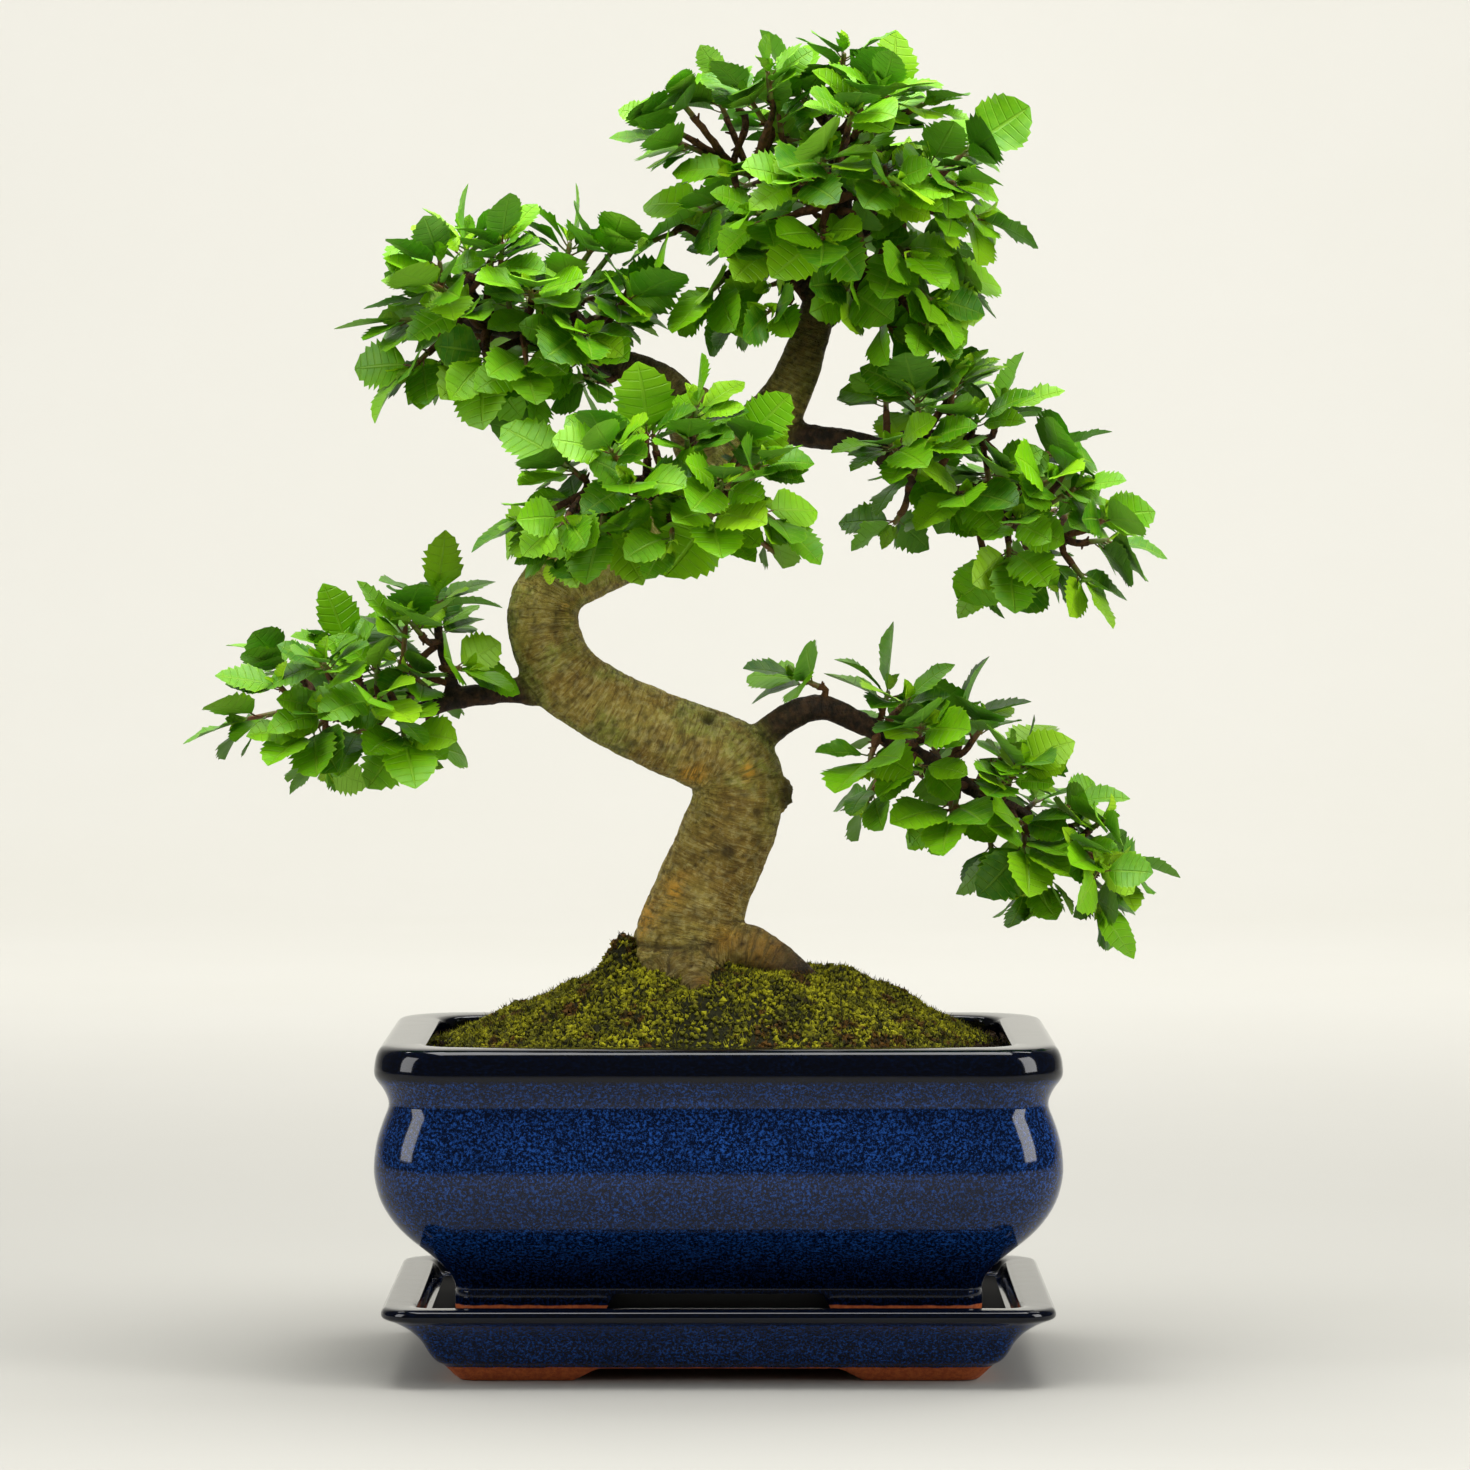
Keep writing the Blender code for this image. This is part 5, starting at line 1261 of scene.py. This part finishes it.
def leaf_mesh(leaf, draw, blade, cupped=0.0):
    """Points of a blade and of its petiole, bent and waved by its own draw."""
    root, axis, facing, length, width = leaf
    along = blade["along"]
    inside = blade["inside"]
    length = length * BLADE_SHORTER
    width = width * draw.uniform(*BLADE_BROADER)
    across = axis.cross(facing)
    fold = draw.uniform(0.06, 0.26) + cupped
    droop = draw.uniform(0.05, 0.24)
    curl = draw.uniform(-0.08, 0.08)
    wave = draw.uniform(0.3, 1.0)
    turns = draw.uniform(1.2, 2.4)
    start = draw.uniform(0, math.tau)
    twist = draw.uniform(-0.3, 0.3)
    bend = draw.uniform(-0.09, 0.09)
    tooth = draw.uniform(0.5, 1.3) * TOOTH
    half = width / 2
    size = length / 20.0
    uneven = np.array([draw.uniform(0.5, 1.4) for _ in range(along.size)]).reshape(along.shape)
    spread = blade["across"] * (1 - tooth * blade["teeth"] * uneven)
    lean = spread * half + bend * length * along ** 2
    lift = (fold * np.abs(spread) ** 1.25 * half - droop * length * along ** 2 + curl * length * along ** 3
            + PLEAT * size * blade["bulge"]
            + wave * size * spread ** 2 * np.sin(math.tau * turns * along + start)
            + twist * along * spread * half)
    lift = lift - 0.12 * size * blade["middle"]
    forward = np.array(axis)
    upward = np.array(facing)
    foot = np.array(root + axis * LEAF_PETIOLE)
    flat = foot + along[..., None] * length * forward + lean[..., None] * np.array(across)
    rim = np.ones(along.size)
    rim[inside] = 0.0
    thick = (BLADE_HALF * size * (1 - rim)).reshape(along.shape)
    top = (flat + (lift + thick)[..., None] * upward).reshape(-1, 3)
    under = (flat + (lift - thick)[..., None] * upward).reshape(-1, 3)[inside]
    sag = root + axis * LEAF_PETIOLE * 0.5 - Vector((0, 0, 0.35))
    petiole = [(*(root - axis * 0.3), 0.5 * size + 0.1), (*sag, 0.36 * size), (*(foot + forward * 0.8), 0.34 * size)]
    return np.vstack((top, under)), petiole


leaf_material, tree, shader = new_material("elm_leaf", Specular_IOR_Level=0.32, IOR=1.45)
LEAF_DEEP = linear(52, 118, 0)
LEAF_GREEN = linear(112, 182, 4)
LEAF_YOUNG = linear(172, 220, 26)
LEAF_VEIN = linear(166, 206, 60)
LEAF_UNDER = linear(118, 166, 66)
uv = put(tree, "UVMap", {}, uv_map="blade")
vein_along = put(tree, "SeparateXYZ", {0: uv}, "X")
vein_across = put(tree, "SeparateXYZ", {0: uv}, "Y")
tint = put(tree, "Attribute", {}, "Fac", attribute_name="tint")
under = put(tree, "Attribute", {}, "Fac", attribute_name="under")
place = put(tree, "TexCoord", output="Object")
from_vein = sums(tree, "PINGPONG", sums(tree, "MULTIPLY", vein_along, float(VEINS)), 0.5)
from_midrib = put(tree, "Math", {0: sums(tree, "SUBTRACT", vein_across, 0.5)}, operation="ABSOLUTE")
side_vein = sums(tree, "MULTIPLY", ramp(tree, from_vein, 0.03, 0.11, 1.0, 0.0),
                 ramp(tree, from_midrib, 0.36, 0.49, 1.0, 0.2))
midrib = ramp(tree, from_midrib, 0.012, 0.04, 1.0, 0.0)
veins = sums(tree, "MAXIMUM", sums(tree, "MULTIPLY", side_vein, 0.6), midrib)
blade = blend(tree, ramp(tree, tint, 0.0, 0.5), LEAF_DEEP, LEAF_GREEN)
blade = blend(tree, ramp(tree, tint, 0.5, 1.0), blade, LEAF_YOUNG)
flecked = use_group(tree, mottle_group, {"Vector": place, "Scale": 260.0, "Spread": 0.25})
blade = blend(tree, ramp(tree, flecked["Mask"], 0.0, 1.0, 0.0, 0.16), blade, LEAF_YOUNG)
rim_light = ramp(tree, from_midrib, 0.44, 0.5, 0.0, 0.25)
blade = blend(tree, rim_light, blade, LEAF_YOUNG)
blade = blend(tree, sums(tree, "MULTIPLY", veins, 0.24), blade, LEAF_VEIN)
blade = blend(tree, sums(tree, "MULTIPLY", under, 0.45), blade, LEAF_UNDER)
tree.links.new(blade, shader["Base Color"])
tree.links.new(ramp(tree, under, 0.0, 1.0, 0.42, 0.62), shader["Roughness"])
tree.links.new(bump(tree, sums(tree, "SUBTRACT", sums(tree, "MULTIPLY", flecked["Mask"], 0.15), veins), 0.00025),
               shader["Normal"])

STEM_GREEN = linear(96, 124, 38)
STEM_RED = linear(118, 70, 38)
stem_material, tree, shader = new_material("green_stem", Roughness=0.55)
place = put(tree, "TexCoord", output="Object")
stained = use_group(tree, mottle_group, {"Vector": place, "Scale": 240.0, "Spread": 0.15, "Low": STEM_GREEN,
                                         "High": STEM_RED})
tree.links.new(stained["Color"], shader["Base Color"])


def young_leaves(shoot, draw):
    """A tuft of small pale leaves that stand half folded at a shoot's tip."""
    heading = shoot["heading"]
    tip = Vector(shoot["route"][-1][:3])
    tuft = []
    for _ in range(draw.choice((2, 3, 3))):
        away = Vector((draw.uniform(-1, 1), draw.uniform(-1, 1), draw.uniform(-0.4, 1)))
        axis = (heading * 1.2 + away * 0.7).normalized()
        facing = away - axis * away.dot(axis)
        if facing.length < 0.05:
            continue
        length = draw.uniform(5.0, 9.5)
        tuft.append((tip - heading * 0.8 - axis * 1.6, axis, -facing.normalized(), length, length * 0.52))
    return tuft


def shoot_piece(name, shoots):
    """Stems with their leaves as one mesh, with what its materials read on it."""
    points = []
    faces = []
    slots = []
    tints = []
    unders = []
    uvs = []

    def add(more_points, more_faces, slot, tint, under, uv):
        faces.extend(tuple(len(points) + corner for corner in face) for face in more_faces)
        points.extend(more_points)
        slots.extend([slot] * len(more_faces))
        tints.extend([tint] * len(more_points))
        unders.extend(under)
        uvs.extend(uv)

    for shoot in shoots:
        draw = random.Random(90000 + shoot["order"])
        stem = fine_tube(shoot["route"], 7, 2.0, 0.12, shoot["order"])
        add(*stem, 1, 0.3, [0.0] * len(stem[1]), [(0.0, 0.5)] * len(stem[0]))
        full = [(leaf, FULL_BLADE, 0.0, draw.uniform(0.0, 0.78)) for leaf in shoot["frames"]]
        young = [(leaf, YOUNG_BLADE, 0.5, draw.uniform(0.7, 1.0)) for leaf in young_leaves(shoot, draw)]
        for leaf, blade, cupped, tint in full + young:
            sheet, petiole = leaf_mesh(leaf, draw, blade, cupped)
            sides = [0.0, 1.0] * (len(blade["faces"]) // 2)
            add(sheet.tolist(), blade["faces"], 0, tint, sides, blade["uv"])
            stalk = fine_tube(petiole, PETIOLE_SIDES, 2.5, rounded=False)
            add(*stalk, 1, 0.3, [0.0] * len(stalk[1]), [(0.0, 0.5)] * len(stalk[0]))
    piece = new_piece(name, points, faces, 70)
    mesh = piece.data
    mesh.materials.append(leaf_material)
    mesh.materials.append(stem_material)
    mesh.polygons.foreach_set("material_index", slots)
    mesh.attributes.new("tint", "FLOAT", "POINT").data.foreach_set("value", tints)
    mesh.attributes.new("under", "FLOAT", "FACE").data.foreach_set("value", unders)
    corners = np.zeros(len(mesh.loops), int)
    mesh.loops.foreach_get("vertex_index", corners)
    mesh.uv_layers.new(name="blade").data.foreach_set("uv", np.array(uvs)[corners].ravel())
    return piece


for shoot in plan:
    settle(shoot_piece("leafy_" + shoot["name"], [shoot]), "leaf", shoot["name"])
for pad in BRANCHES:
    settle(shoot_piece("more_leaves_" + pad, [shoot for shoot in more_plan if shoot["pad"] == pad]), "leaf")

# Twigs
# Thin woody twigs carry the shoots. They are knobbly with old leaf scars, and each ends in a spur
# with a few brown buds among the leaf stalks.
TWIG_BROWN = linear(96, 62, 36)
BUD_BROWN = linear(128, 84, 44)
twig_material, tree, shader = new_material("twig_bark", Roughness=0.8, Specular_IOR_Level=0.3)
place = put(tree, "TexCoord", output="Object")
rough = use_group(tree, mottle_group, {"Vector": place, "Scale": 600.0, "Spread": 0.18, "Low": BARK_DARK,
                                       "High": TWIG_BROWN})
tips = use_group(tree, mottle_group, {"Vector": place, "Scale": 140.0, "Spread": 0.08})
twig_colour = blend(tree, sums(tree, "MULTIPLY", tips["Mask"], 0.45), rough["Color"], BUD_BROWN)
tree.links.new(twig_colour, shader["Base Color"])
tree.links.new(bump(tree, rough["Mask"], 0.0004), shader["Normal"])
shapes = []
for shoot in plan + more_plan:
    draw = random.Random(7000 + shoot["order"])
    route = shoot["twig"]
    shapes.append(fine_tube(route, 7, 1.6, 0.42, shoot["order"]))
    for _ in range(3):
        share = draw.uniform(0.3, 1.0)
        foot = Vector(route[-2][:3]).lerp(Vector(route[-1][:3]), share)
        away = Vector((draw.uniform(-1, 1), draw.uniform(-1, 1), draw.uniform(-1, 1))).normalized()
        away = (away + shoot["heading"] * 0.6).normalized()
        reach = draw.uniform(1.4, 2.8)
        bud = [(*(foot + away * 0.4), 0.6), (*(foot + away * reach), 0.3)]
        shapes.append(fine_tube(bud, 5, 2.0))
twigs = new_piece("twigs_and_buds", *joined(shapes), 60)
twigs.data.materials.append(twig_material)
settle(twigs, "bark")

# Floor, light and camera
# A cream paper sweep under and behind the object, two tall soft boxes at the sides, a wide soft
# light overhead, and a long lens a little above the middle of the tree, aimed slightly down.
PAPER = linear(222, 220, 212)
SWEEP_FRONT = -4.5
SWEEP_BACK = 2.2
SWEEP_RADIUS = 1.4
SWEEP_TOP = 5.0
SWEEP_HALF_WIDTH = 5.0
line = [(SWEEP_FRONT, 0.0)]
for step in range(25):
    angle = math.radians(90 * step / 24)
    line.append((SWEEP_BACK + SWEEP_RADIUS * math.sin(angle), SWEEP_RADIUS * (1 - math.cos(angle))))
line.append((SWEEP_BACK + SWEEP_RADIUS, SWEEP_TOP))
vertices = [(side * SWEEP_HALF_WIDTH, y, z) for y, z in line for side in (-1, 1)]
mesh = bpy.data.meshes.new("paper_sweep")
mesh.from_pydata(vertices, [], [(2 * i, 2 * i + 1, 2 * i + 3, 2 * i + 2) for i in range(len(line) - 1)])
mesh.shade_smooth()
sweep = bpy.data.objects.new("paper_sweep", mesh)
bpy.context.scene.collection.objects.link(sweep)
paper, tree, shader = new_material("cream_paper", Roughness=0.9, Specular_IOR_Level=0.1)
fibre = use_group(tree, mottle_group, {"Vector": put(tree, "TexCoord", output="Object"), "Scale": 3.0,
                                       "Spread": 0.4, "Low": linear(220, 218, 209), "High": PAPER})
spot = put(tree, "TexCoord", output="Object")
across_floor = put(tree, "SeparateXYZ", {0: spot}, "X")
into_floor = put(tree, "SeparateXYZ", {0: spot}, "Y")
# Painted shadow and light: the paper darkens by position in a wide band round the object. It is a little lighter just
# in front of the object, darker far in front and a little darker to the left.
painted_shadow_and_light = sums(tree, "MULTIPLY", ramp(tree, into_floor, 0.25, 1.7, 0.56, 1.0),
           ramp(tree, into_floor, -0.3, 0.05, 1.14, 1.0))
painted_shadow_and_light = sums(tree, "MULTIPLY", painted_shadow_and_light, ramp(tree, into_floor, -1.0, -0.45, 0.7, 1.0))
painted_shadow_and_light = sums(tree, "MULTIPLY", painted_shadow_and_light, ramp(tree, across_floor, -0.25, 0.25, 0.985, 1.0))
tree.links.new(blend(tree, painted_shadow_and_light, (0.0, 0.0, 0.0, 1.0), fibre["Color"]), shader["Base Color"])
mesh.materials.append(paper)


def soft_box(name, place, target, width, height, power, colour=(1.0, 1.0, 1.0)):
    light = bpy.data.lights.new(name, "AREA")
    light.shape = "RECTANGLE"
    light.size = width
    light.size_y = height
    light.energy = power
    light.color = colour
    holder = bpy.data.objects.new(name, light)
    holder.location = place
    holder.rotation_euler = (Vector(target) - Vector(place)).to_track_quat("-Z", "Y").to_euler()
    bpy.context.scene.collection.objects.link(holder)


soft_box("left_box", (-1.5, -0.7, 0.75), (0, 0, 0.22), 0.65, 1.1, 13.5)
soft_box("right_box", (1.5, -0.7, 0.75), (0, 0, 0.22), 0.65, 1.1, 18.0)
soft_box("top_box", (0.05, -0.1, 1.25), (0, 0.05, 0.2), 0.9, 0.8, 20.0)
soft_box("backdrop_box", (0.0, 1.3, 3.4), (0, 3.6, 1.1), 4.5, 0.8, 142.0)

world = bpy.data.worlds.new("studio")
world.use_nodes = True
room = world.node_tree
seen = put(room, "LightPath", {}, "Is Camera Ray")
background = room.nodes["Background"].inputs
background["Color"].default_value = (1.0, 0.99, 0.955, 1.0)
room.links.new(ramp(room, seen, 0.0, 1.0, 0.09, 0.84), background["Strength"])
bpy.context.scene.world = world
bpy.context.scene.view_settings.view_transform = "Standard"

CAMERA_DISTANCE = 1.85
CAMERA_HEIGHT = 0.263
camera_data = bpy.data.cameras.new("camera")
camera_data.lens = 151.0
camera_data.sensor_width = 36.0
camera = bpy.data.objects.new("camera", camera_data)
camera.location = (POT_MIDDLE[0] + 0.005, pot_low.y - CAMERA_DISTANCE, CAMERA_HEIGHT)
camera.rotation_euler = (math.radians(88.0), 0.0, 0.0)
bpy.context.scene.collection.objects.link(camera)
bpy.context.scene.camera = camera
